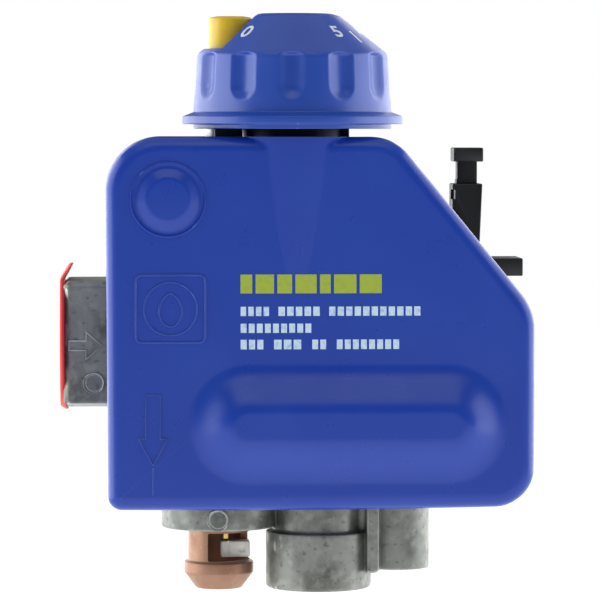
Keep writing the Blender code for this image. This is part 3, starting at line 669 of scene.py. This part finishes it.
def print_bar(name, x, z, finish):
    """Thin raised bar of paint on the cover's front."""
    bm = bmesh.new()
    columns = max(4, int((x[1] - x[0]) / 0.6))
    rows = []
    for lift in (0.05, -0.07):
        for row in range(5):
            v = z[0] + (z[1] - z[0]) * row / 4
            line = []
            for column in range(columns + 1):
                u = x[0] + (x[1] - x[0]) * column / columns
                line.append(bm.verts.new(Vector((u, cover_y(u, v) + lift, v)) * MM))
            rows.append(line)
    back, front = rows[:5], rows[5:]
    for sheet in (back, front):
        for low, high in zip(sheet, sheet[1:]):
            for column in range(columns):
                bm.faces.new((low[column], low[column + 1], high[column + 1], high[column]))
    border = ([(0, c) for c in range(columns)] + [(r, columns) for r in range(4)]
              + [(4, c) for c in range(columns, 0, -1)] + [(r, 0) for r in range(4, 0, -1)])
    for (r, c), (s, d) in zip(border, border[1:] + border[:1]):
        bm.faces.new((back[r][c], back[s][d], front[s][d], front[r][c]))
    return settle(mesh_object(name, bm), finish)


def build_print():
    """Plain bars where such a cover carries its printed notice."""
    head_gap, letter_pitch, letter_gap = 0.8, 2.1, 0.55
    blocks = [-14.05, -10.3, -4.9, -0.4, 5.7, 9.2, 15.6, 21.9]
    for number, (left, right) in enumerate(zip(blocks, blocks[1:]), 1):
        print_bar(f"print_head_{number}", (left, right - head_gap), (9.4, 14.1), "green_print")
    lines = [
        ((3.8, 6.1), [(-14.0, -6.4), (-4.6, 6.2), (8.0, 31.3)]),
        ((-0.4, 1.9), [(-14.0, 4.1)]),
        ((-4.5, -2.1), [(-14.0, -7.8), (-5.7, 1.6), (3.8, 7.8), (9.9, 26.0)]),
    ]
    count = 0
    for height, words in lines:
        for left, right in words:
            letters = max(2, round((right - left) / letter_pitch))
            step = (right - left) / letters
            for letter in range(letters):
                count += 1
                start = left + step * letter
                print_bar(f"print_text_{count}", (start, start + step - letter_gap), height, "pale_print")


# ---------------------------------------------------------------- knob and button

FLUTES = 12
FLUTE_RADIUS = 4.35
FLUTE_DEPTH = 1.35
FLUTE_TURN = math.radians(-3)                  # the front flute stands a little to the left
FLUTE_END_Z = 61.0
FLUTE_TOP_Z = 68.3
FLUTE_TOP_CURVE = 2.8                          # how much sooner than a circle the top closes
BUTTON_HOLE = 5.8
POCKET_Z = 70.3
POCKET_MIDDLE = 178.0
POCKET_HALF_ANGLE = 38.0
KNOB_CONE_TOP = (12.0, 78.6)
KNOB_SHOULDER = (24.3, 68.9)                   # where the cone would meet the wall
KNOB_WALL_FOOT = (25.1, 54.4)


def knob_radius(radius, height, angle):
    """Cuts the finger flutes into the knob's outer wall."""
    if radius < 21.5 or height < FLUTE_END_Z - 3.5 or height > 72:
        return radius
    turned = angle + TAU / 4 - FLUTE_TURN
    nearest = round(turned * FLUTES / TAU) * TAU / FLUTES - TAU / 4 + FLUTE_TURN
    side = radius * math.sin(angle - nearest)
    share = min(max((KNOB_SHOULDER[1] - height) / (KNOB_SHOULDER[1] - KNOB_WALL_FOOT[1]), 0.0), 1.0)
    wall = KNOB_SHOULDER[0] + (KNOB_WALL_FOOT[0] - KNOB_SHOULDER[0]) * share
    below = max(0.0, FLUTE_END_Z - height)
    above = max(0.0, height - FLUTE_TOP_Z) * FLUTE_TOP_CURVE
    inside = FLUTE_RADIUS ** 2 - side ** 2 - below ** 2 - above ** 2
    if inside <= 0:
        return radius
    floor = wall - FLUTE_DEPTH + FLUTE_RADIUS - math.sqrt(inside)
    blend = 0.9
    gap = (radius - floor) / blend
    if gap > 1:
        return floor
    if gap < -1:
        return radius
    return min(radius, floor) - blend * 0.25 * (1 - abs(gap)) ** 2


def sector_solid(name, profile, middle, half_angle, steps=40):
    """Closed (r, z) profile swept over part of a turn about the knob's axis."""
    rings = []
    for step in range(steps + 1):
        angle = math.radians(middle - half_angle + 2 * half_angle * step / steps)
        rings.append([Vector((KNOB_X + r * math.cos(angle), KNOB_Y + r * math.sin(angle), z)) * MM
                      for r, z in profile])
    return capped(name, rings)


def build_knob():
    steps = 576
    outside = soften([(0, KNOB_HIGH.z), (9.8, KNOB_HIGH.z, 1.0), (*KNOB_CONE_TOP, 1.0),
                      (*KNOB_SHOULDER, 2.3), (*KNOB_WALL_FOOT, 0.4), (27.9, 53.3, 0.35),
                      (27.9, 51.35, 0.3), (25.1, 51.35, 0.2), (25.1, KNOB_LOW.z, 0.3),
                      (22.9, KNOB_LOW.z, 0.3), (22.3, 66.5, 1.0), (20.5, 67.8, 0.5), (0, 67.8)], 0.3)
    profile = refine(outside, 0.55)
    knob = lathe("knob_shell", profile, "Z", (KNOB_X, KNOB_Y), steps, shape=knob_radius)
    rim = arc_points((8.3, 78.2), 1.1, 0, 84, 8)
    pocket = [(36, 90), (36, POCKET_Z), (10.0, POCKET_Z), (9.6, POCKET_Z + 0.15), (9.4, POCKET_Z + 0.6)]
    combine(knob, sector_solid("pocket", pocket + rim + [(8.3, 90)], POCKET_MIDDLE, POCKET_HALF_ANGLE))
    drilled(knob, "Z", (BUTTON_X, KNOB_Y), (60, 80), BUTTON_HOLE, 64)
    settle(knob, "blue_plastic", "knob", ("control_knob",), crease=28)
    hub = soften([(3.2, 52.8), (5.6, 52.8, 0.3), (6.2, 67.9), (3.2, 67.9)])
    settle(lathe("knob_hub", hub, "Z", (KNOB_X, KNOB_Y), 64, loop=True), "blue_plastic",
           "knob")
    well = soften([(2.9, 56), (7.2, 56, 0.3), (7.4, 67.9), (5.8, 67.9), (5.8, 58), (2.9, 58)])
    settle(lathe("button_well", well, "Z", (BUTTON_X, KNOB_Y), 64, loop=True), "blue_plastic",
           "knob")


def build_button():
    top, radius = BUTTON_HIGH.z, 5.5
    profile = refine(soften([(0, top), (3.5, top - 0.05, 1.0), (radius, top - 0.35, 0.7),
                             (radius, 64.3, 0.3), (2.6, 64.3), (2.6, BUTTON_LOW.z, 0.4),
                             (0, BUTTON_LOW.z)], 0.2), 1.2)
    settle(lathe("button_cap", profile, "Z", (BUTTON_X, KNOB_Y), 96), "yellow",
           "button", ("pilot_button",))


def cone_point(reach, angle_degrees, side, along, lift=0.02):
    """Point on the knob's cone: along its slope outwards from a reach, and sideways."""
    angle = math.radians(angle_degrees)
    slope = (Vector(KNOB_SHOULDER) - Vector(KNOB_CONE_TOP)).normalized()
    radius = reach + along * slope.x
    radial = Vector((math.cos(angle), math.sin(angle)))
    across = Vector((-math.sin(angle), math.cos(angle)))
    flat = radial * radius + across * side
    height = KNOB_CONE_TOP[1] + (flat.length - KNOB_CONE_TOP[0]) * slope.y / slope.x
    return Vector((KNOB_X + flat.x, KNOB_Y + flat.y, height + lift))


def dial_text(name, text, angle, size=6.2, reach=17.4):
    """Numeral laid on the cone, with its foot outwards."""
    curve = bpy.data.curves.new(name, "FONT")
    curve.body = text
    curve.align_x = "CENTER"
    curve.align_y = "CENTER"
    curve.size = size
    curve.offset = 0.1
    curve.extrude = 0.06
    curve.resolution_u = 4
    holder = bpy.data.objects.new(name, curve)
    bpy.context.scene.collection.objects.link(holder)
    bpy.context.view_layer.update()
    mesh = bpy.data.meshes.new_from_object(
        holder.evaluated_get(bpy.context.evaluated_depsgraph_get()))
    bpy.data.objects.remove(holder, do_unlink=True)
    bm = bmesh.new()
    bm.from_mesh(mesh)
    bmesh.ops.remove_doubles(bm, verts=bm.verts, dist=0.0001)
    for vert in bm.verts:
        vert.co = cone_point(reach, angle, vert.co.x, -vert.co.y, vert.co.z) * MM
    return settle(mesh_object(name, bm), "mark", "knob")


def dial_tick(name, angle, start, length, width):
    rows = 4
    rings = []
    for row in range(rows + 1):
        along = start + length * row / rows
        corners = []
        for side, lift in ((-width / 2, -0.05), (width / 2, -0.05), (width / 2, 0.06), (-width / 2, 0.06)):
            corners.append(cone_point(KNOB_CONE_TOP[0], angle, side, along, lift) * MM)
        rings.append(corners)
    return settle(capped(name, rings), "mark", "knob")


def build_dial():
    numerals = {"0": 226.0, "1": 112.0, "2": 64.0, "3": 22.0, "4": -16.0, "5": -53.0}
    for text, angle in numerals.items():
        dial_text(f"dial_{text}", text, angle)
    ticks = [88.0, 43.0, 3.0, -36.0]
    for number, angle in enumerate(ticks, 1):
        dial_tick(f"dial_tick_{number}", angle, 6.5, 4.5, 0.7)


# ---------------------------------------------------------------- bearing plate and push rod

def build_bearing():
    low, high = span("bearing_plate")
    base = soft_box("bearing", (low.x, high.x), (-48, low.y + 26.8), (low.z, 44.0), 0.6)
    shoulder = high.z - 0.5
    neck = lathe("neck", soften([(0, high.z), (12.8, high.z, 0.3), (12.8, 43.0), (0, 43.0)]), "Z",
                 (KNOB_X, KNOB_Y), 96)
    combine(base, neck, "UNION")
    combine(base, soft_box("lug", (-20.0, -13.0), (-44, -39.9), (43, shoulder), 0.3), "UNION")
    combine(base, soft_box("ear", (10.0, 14.1), (-41, -33), (43, shoulder), 0.3), "UNION")
    drilled(base, "Z", (KNOB_X, KNOB_Y), (50, 53), 9.5, 64)
    drilled(base, "Z", (KNOB_X, KNOB_Y), (39, 51), 3.3, 48)
    drilled(base, "Z", (KNOB_X, KNOB_Y), (39, 46), 6.2, 48)
    drilled(base, "Z", (SAFETY_X, KNOB_Y), (39, 53), 2.0, 32)
    for node in ("bearing_screw_1", "bearing_screw_2"):
        place = middle_of(node)
        drilled(base, "Z", (place.x, place.y), (39, 45), SCREW_HOLE, 24)
    settle(base, "black", replaced=("bearing_plate",))
    low, high = span("pilot_push_rod")
    profile = soften([(0, high.z), (3.6, high.z, 0.5), (3.6, 47.8, 0.3), (1.5, 47.8), (1.5, low.z, 0.2),
                      (0, low.z)], 0.15)
    settle(lathe("push_rod", profile, "Z", (SAFETY_X, KNOB_Y), 48), "steel", "push_rod",
           ("pilot_push_rod",))


# ---------------------------------------------------------------- screws and springs

def along_axis(node, axis):
    """A CAD node's corners and middle, its axis's number and the numbers of the other two."""
    low, high = span(node)
    index = "XYZ".index(axis)
    others = [i for i in range(3) if i != index]
    return low, high, (low + high) / 2, index, others


def build_screw(node, axis, head_first):
    """Pan-head screw with a cross recess; head_first is +1 if the head is at the high end."""
    low, high, middle, index, others = along_axis(node, axis)
    centre = (middle[others[0]], middle[others[1]])
    tip, top = (low[index], high[index]) if head_first > 0 else (high[index], low[index])
    outward = 1 if top > tip else -1
    head_radius = (high[others[0]] - low[others[0]]) / 2
    under = top - outward * 2.3
    corners = [(0, top), (head_radius * 0.7, top - outward * 0.1, 0.6),
               (head_radius, top - outward * 1.0, 0.5), (head_radius, under, 0.2), (SCREW_SHANK, under)]
    pitch, depth = 0.8, 0.22
    count = int(abs(under - tip) / pitch) - 1
    for number in range(count):
        height = under - outward * (0.6 + number * pitch)
        corners += [(SCREW_SHANK, height), (SCREW_SHANK - depth, height - outward * pitch / 2)]
    corners += [(SCREW_SHANK, tip + outward * 0.8, 0.1), (0.6, tip), (0, tip)]
    screw = lathe(f"{node}_fine", soften(corners, 0.2), axis, centre, 48)
    reach = head_radius * 0.62
    slot_floor = top - outward * 1.3
    for turn in range(2):
        limits = [None, None, None]
        limits[index] = tuple(sorted((slot_floor, top + outward * 1.0)))
        for spot, other in enumerate(others):
            half = reach if spot == turn else 0.38
            limits[other] = (middle[other] - half, middle[other] + half)
        combine(screw, soft_box("recess", *limits, radius=0.0))
    settle(screw, "steel", replaced=(node,), crease=35)


def build_spring(node, axis, turns, radius, wire_radius, body="root"):
    low, high, middle, index, others = along_axis(node, axis)
    turn = axis_frame(axis, (middle[others[0]], middle[others[1]]))
    start, stop = low[index] + wire_radius, high[index] - wire_radius
    points = []
    count = int(turns * 24)
    for number in range(count + 1):
        share = number / count
        angle = TAU * turns * share
        rise = (share - 0.06 * math.sin(TAU * share) / TAU * 2)
        place = Vector((radius * math.cos(angle), radius * math.sin(angle), start + (stop - start) * rise))
        points.append((turn @ (place * MM)) / MM)
    wire(f"{node}_fine", points, wire_radius, "steel", body, replaced=(node,))


def build_small_parts():
    for node in ("cover_screw_1", "cover_screw_2"):
        build_screw(node, "Y", 1)
    for node in ("bearing_screw_1", "bearing_screw_2"):
        build_screw(node, "Z", 1)
    build_screw("bracket_screw", "X", 1)
    for number in range(1, 7):
        build_screw(f"plate_screw_{number}", "Y", -1)
    build_spring("pilot_button_spring", "Z", 3.5, 4.2, 0.4, "knob")
    build_spring("cock_spring", "Z", 3, 4.7, 0.5, "knob")
    build_spring("piezo_spring", "Z", 5, 1.9, 0.35)


# ---------------------------------------------------------------- casting

def build_casting():
    source = frame["nodes"]["valve_body"]
    body = bpy.data.objects.new("casting", source.data.copy())
    bpy.context.scene.collection.objects.link(body)
    rounds = [
        ("safety", [(0, -50.8), (14.6, -50.8, 0.8), (14.6, -43), (0, -43)], (SAFETY_X, KNOB_Y)),
        ("outlet", [(0, -66.4), (12.3, -66.4, 0.3), (13.4, -65.0, 0.6), (13.4, -52.0, 0.5),
                    (11.5, -52.0, 0.3), (11.5, -43), (0, -43)], (OUTLET_X, OUTLET_Y)),
        ("pilot", [(0, -61.5), (8.5, -61.5, 0.6), (8.5, -43), (0, -43)], (PILOT_X, OUTLET_Y)),
    ]
    for name, corners, centre in rounds:
        combine(body, lathe(name, soften(corners, 0.3), "Z", centre, 128), "UNION")
    combine(body, soft_box("fin", (18.3, 20.7), (-46.2, -38), (-62, -43), 0.3), "UNION")
    combine(body, soft_box("witness", (-28.7, -28.2), (-48.2, -46.5), (-52, -43), 0.0))
    drilled(body, "Z", (SAFETY_X, KNOB_Y), (-52, -42.0), 8.5)
    drilled(body, "Z", (OUTLET_X, OUTLET_Y), (-68, -37), 6.5)
    drilled(body, "Z", (PILOT_X, OUTLET_Y), (-63, -44), 3.2)
    remesh = body.modifiers.new("skin", "REMESH")
    remesh.mode = "VOXEL"
    remesh.voxel_size = 0.33 * MM
    remesh.adaptivity = 0.0
    soft = body.modifiers.new("soft", "SMOOTH")
    soft.factor = 0.5
    soft.iterations = 1
    bake(body)
    thin = body.modifiers.new("thin", "DECIMATE")
    thin.ratio = 0.35
    bake(body)
    settle(body, "cast", replaced=("valve_body",), crease=60)


def build_cast_marks():
    """Raised marks of the casting: flow arrows and the ejector pins' round pads."""
    inlet_y = -31.6
    arrow = [(-57.0, -3.6), (-52.6, -3.6), (-52.6, -1.2), (-48.2, -5.0), (-52.6, -8.8), (-52.6, -6.4),
             (-57.0, -6.4)]
    inside = [(-56.6, -4.0), (-52.2, -4.0), (-52.2, -2.1), (-48.8, -5.0), (-52.2, -7.9), (-52.2, -6.0),
              (-56.6, -6.0)]
    mark = prism("arrow", arrow, "Y", (inlet_y - 0.25, inlet_y + 0.3))
    combine(mark, prism("arrow_inside", inside, "Y", (inlet_y - 1.0, inlet_y + 1.0)))
    raised_mark("cast_arrow", mark)
    pads = [((-50.5, -14.6), inlet_y), ((-19.4, -47.9), KNOB_Y - 14.6)]
    for number, (centre, y) in enumerate(pads, 1):
        corners = [(0, y - 0.15), (2.0, y - 0.15, 0.1), (2.25, y + 0.05, 0.05), (2.45, y - 0.3, 0.1),
                   (2.75, y - 0.3, 0.1), (2.9, y + 0.4), (0, y + 0.4)]
        raised_mark(f"ejector_pad_{number}", lathe("pad", soften(corners, 0.1), "Y", centre, 48))


def raised_mark(name, mark):
    mark.name = name
    bevelled(mark, 0.12, 2)
    settle(mark, "cast")


def build_inlet_cap():
    centre = middle_of("inlet_cap")
    disc_centre = (centre.y, centre.z)
    x = CAP_LOW.x
    radius = (CAP_HIGH.z - CAP_LOW.z) / 2
    profile = refine(soften([(0, x + 0.2), (8.0, x + 0.2, 1.0), (9.0, x, 1.0), (radius - 0.3, x, 0.3),
                             (radius, x + 0.6, 0.3), (radius - 0.2, x + 1.2, 0.3),
                             (radius - 1.0, x + 1.2, 0.3), (radius - 1.4, x + 0.95, 0.2),
                             (0, x + 0.95)], 0.1), 0.6)
    cap = lathe("dust_cap", profile, "X", disc_centre, 144)
    for vert in cap.data.vertices:
        above = vert.co.z / MM - BLOCK_TOP_Z
        below = BLOCK_BOTTOM_Z - vert.co.z / MM
        vert.co.x += MM * (0.6 * max(0.0, above) + 0.8 * max(0.0, below))
    block_middle = (-16.1, -4.7)
    plug = soften([(7.6, x + 0.6), (9.0, x + 0.6), (9.0, CAP_HIGH.x - 0.8, 0.4), (8.6, CAP_HIGH.x, 0.2),
                   (7.6, CAP_HIGH.x)], 0.2)
    combine(cap, lathe("cap_plug", plug, "X", block_middle, 96, loop=True), "UNION")
    settle(cap, "red", "dust_cap", ("inlet_cap",))


def build_sleeve():
    low, high = SLEEVE_LOW.z, SLEEVE_HIGH.z
    profile = soften([(7.85, high), (7.85, -59.3, 0.3), (8.8, -59.8, 0.3), (8.8, -62.4, 0.5),
                      (5.8, low, 0.3), (4.2, low, 0.2), (4.2, -62.8, 0.2), (6.2, -62.2, 0.2),
                      (6.2, high)], 0.2)
    sleeve = lathe("sleeve", profile, "Z", (SAFETY_X, KNOB_Y), 128, loop=True)
    combine(sleeve, soft_box("slot", (-21.8, -8.0), (-46, -33.4), (-59.2, -52.0), 0.5))
    settle(sleeve, "copper", replaced=("thermocouple_sleeve",))
    low, high = span("eco_connector")
    connector = node_box("connector", "eco_connector", 0.5)
    combine(connector, soft_box("groove", (low.x + 1.6, low.x + 2.3), (low.y - 1, low.y + 0.4),
                                (low.z - 1, high.z + 1), 0.0))
    combine(connector, soft_box("window", (high.x - 2.8, high.x - 1.2), (low.y - 1, low.y + 0.5),
                                (low.z + 1.2, high.z - 1.2), 0.2))
    settle(connector, "white", replaced=("eco_connector",))
    settle(node_box("terminal", "eco_terminal", 0.25), "brass", replaced=("eco_terminal",))


# ---------------------------------------------------------------- igniter

def build_igniter():
    low, high = span("piezo_body")
    outline = [(low.x, low.z), (high.x - 1.4, low.z), (high.x - 0.7, 19.8), (high.x, high.z),
               (low.x, high.z)]
    case = prism("igniter_case", outline, "Y", (low.y, high.y))
    bevelled(case, 0.35, 3)
    combine(case, soft_box("bore", (43.2, 48.5), (low.y + 2.1, high.y - 2.1), (2, 40), 0.0))
    combine(case, soft_box("mouth", (43.2, 49.2), (low.y + 2.1, high.y - 2.1), (30.5, 40), 0.0))
    combine(case, soft_box("notch", (40, low.x + 0.7), (low.y - 1, low.y + 5), (31.8, 34.4), 0.3))
    drilled(case, "Z", (45.85, -15.0), (-16, 3), 1.2, 32)
    settle(case, "black", replaced=("piezo_body",))
    low, high = span("piezo_plunger")
    head = soft_box("igniter_button", (low.x, high.x), (low.y, high.y), (41.6, high.z), 0.35)
    combine(head, soft_box("neck", (43.7, 48.9), (low.y + 2.4, high.y - 2.4), (35.9, 42.5), 0.2), "UNION")
    combine(head, soft_box("stem", (43.5, 48.2), (low.y + 2.4, high.y - 2.4), (low.z, 37), 0.2), "UNION")
    settle(head, "black", "igniter_button", ("piezo_plunger",))
    low, high = span("piezo_bracket")
    bracket = soft_box("bracket", (low.x, high.x), (low.y, high.y), (12.1, high.z), 0.35)
    combine(bracket, soft_box("foot", (low.x, low.x + 2.2), (-21, -9), (low.z, 14), 0.35), "UNION")
    combine(bracket, soft_box("window", (42.0, 50.2), (-20, -9.9), (8, 20), 0.0))
    drilled(bracket, "X", (-15.0, 5.0), (35, 40), SCREW_HOLE, 32)
    settle(bracket, "black", replaced=("piezo_bracket",))


# ---------------------------------------------------------------- shank and probe

def build_shank():
    low, high = span("tank_shank")
    pitch = 25.4 / 14                             # fourteen threads to the inch
    bore = 5.1
    start, stop = 7.0, high.y
    steps = 96
    rows = int((stop - start) / pitch * 12)
    turn = axis_frame("Y", (0.0, 0.0))

    def ring(radius, height):
        made = []
        for step in range(steps):
            angle = TAU * step / steps
            reach = radius(angle) if callable(radius) else radius
            made.append(turn @ (Vector((reach * math.cos(angle), reach * math.sin(angle), height)) * MM))
        return made

    def thread(height):
        def radius(angle):
            taper = 13.35 - (height - start) / 32
            phase = (height / pitch - angle / TAU) % 1.0
            tooth = 1 - abs(2 * phase - 1)
            fade = min(1.0, (height - start) / 1.5, (stop - height) / 1.2)
            return taper - 1.15 * (1 - tooth) * max(fade, 0.0) - 0.5 * (1 - max(fade, 0.0))
        return radius

    def hexagon(angle):
        flat = (angle % (TAU / 6)) - TAU / 12
        return min(16.0 / math.cos(flat), 17.5)

    collar = [(bore, 0.3), (15.4, 0.3), (hexagon, 0.9), (hexagon, 5.3), (15.4, 6.0), (12.6, 6.1)]
    rings = [ring(radius, height) for radius, height in collar]
    for row in range(rows + 1):
        height = start + (stop - start) * row / rows
        rings.append(ring(thread(height), height))
    rings += [ring(11.0, stop), ring(bore, stop)]
    bm = bmesh.new()
    sweep_rings(bm, rings, loop=True)
    settle(mesh_object("shank", bm), "thread", replaced=("tank_shank",), crease=35)
    low, high = span("probe_tube")
    profile = soften([(0, high.y), (4.75, high.y, 3.6), (4.75, 27.5, 0.2), (4.95, 26.8, 0.2), (4.95, 20.0),
                      (4.75, 19.0), (4.75, low.y), (2.2, low.y), (2.2, 144), (0, 145)], 0.3)
    settle(lathe("probe", refine(profile, 3.0), "Y", (0, 0), 72), "copper",
           replaced=("probe_tube",))


# ---------------------------------------------------------------- stage

def build_stage():
    bm = bmesh.new()
    reach, floor_z = 6.0, -0.34                   # in metres
    corners = [(-reach, -reach), (reach, -reach), (reach, reach), (-reach, reach)]
    bm.faces.new([bm.verts.new((x, y, floor_z)) for x, y in corners])
    floor = mesh_object("floor", bm, recalculate=False)
    pale = bpy.data.materials.new("pale_floor")
    pale.use_nodes = True
    tree = pale.node_tree
    shader = tree.nodes["Principled BSDF"]
    shader.inputs["Base Color"].default_value = (0.35, 0.35, 0.35, 1.0)
    shader.inputs["Roughness"].default_value = 0.9
    shader.inputs["Emission Color"].default_value = (1.0, 1.0, 1.0, 1.0)
    shader.inputs["Emission Strength"].default_value = 1.0
    floor.data.materials.append(pale)


def area_light(name, place, target, size, power, colour=(1.0, 1.0, 1.0)):
    data = bpy.data.lights.new(name, "AREA")
    data.shape = "RECTANGLE"
    data.size, data.size_y = size
    data.energy = power
    data.color = colour
    lamp = bpy.data.objects.new(name, data)
    lamp.location = place
    lamp.rotation_euler = (Vector(target) - Vector(place)).to_track_quat("-Z", "Y").to_euler()
    bpy.context.scene.collection.objects.link(lamp)


def build_light():
    world = bpy.data.worlds.new("studio")
    bpy.context.scene.world = world
    world.use_nodes = True
    tree = world.node_tree
    tree.nodes.clear()
    output = tree.nodes.new("ShaderNodeOutputWorld")
    seen = tree.nodes.new("ShaderNodeBackground")
    seen.inputs["Color"].default_value = (1.0, 1.0, 1.0, 1.0)
    seen.inputs["Strength"].default_value = 1.0
    felt = tree.nodes.new("ShaderNodeBackground")
    felt.inputs["Color"].default_value = (1.0, 1.0, 1.0, 1.0)
    felt.inputs["Strength"].default_value = 0.15
    path = tree.nodes.new("ShaderNodeLightPath")
    mix = tree.nodes.new("ShaderNodeMixShader")
    tree.links.new(path.outputs["Is Camera Ray"], mix.inputs["Fac"])
    tree.links.new(felt.outputs["Background"], mix.inputs[1])
    tree.links.new(seen.outputs["Background"], mix.inputs[2])
    tree.links.new(mix.outputs["Shader"], output.inputs["Surface"])
    target = (0.0, -0.03, 0.0)
    area_light("left_softbox", (-1.2, 0.1, 0.15), target, (1.5, 1.5), 21.0)
    area_light("right_softbox", (1.2, 0.1, 0.15), target, (1.5, 1.5), 19.0)
    area_light("left_back_softbox", (-0.95, 1.35, 0.15), target, (1.4, 1.5), 17.0)
    area_light("right_back_softbox", (0.95, 1.35, 0.15), target, (1.4, 1.5), 17.0)
    area_light("top_softbox", (0.0, 0.15, 1.1), target, (1.4, 1.1), 2.5)
    area_light("front_top_softbox", (0.0, -0.75, 1.15), target, (1.2, 0.7), 3.2)


def build_camera():
    """Long lens in front of the cover, three degrees to the left of its normal and slightly above."""
    data = bpy.data.cameras.new("camera")
    data.sensor_width = 36.0
    data.lens = 222.6
    data.clip_start = 0.05
    data.clip_end = 30.0
    camera = bpy.data.objects.new("camera", data)
    distance = 0.92
    yaw = math.radians(3.0)
    target = Vector((0.75, FRONT_Y, 7.75)) * MM
    camera.location = target + Vector((-distance * math.sin(yaw), -distance * math.cos(yaw), 0.045))
    camera.rotation_euler = (target - camera.location).to_track_quat("-Z", "Y").to_euler()
    bpy.context.scene.collection.objects.link(camera)
    bpy.context.scene.camera = camera


def dress_cad_nodes():
    """Puts a procedural finish on every CAD node that still shows."""
    slots = {row["node"]: row["material_slot"] for row in frame["record"]["subparts"]}
    for name, item in frame["nodes"].items():
        finish = FINISH[SLOT_FINISH[slots[name]]]
        if not item.material_slots:
            item.data.materials.append(finish)
        for place in item.material_slots:
            place.material = finish


build_camera()
build_stage()
build_light()
dress_cad_nodes()
build_cover()
build_badge()
build_emblem()
build_cover_arrow()
build_print()
build_knob()
build_button()
build_dial()
build_bearing()
build_small_parts()
build_casting()
build_cast_marks()
build_inlet_cap()
build_sleeve()
build_igniter()
build_shank()
bpy.context.scene.view_settings.view_transform = "Standard"
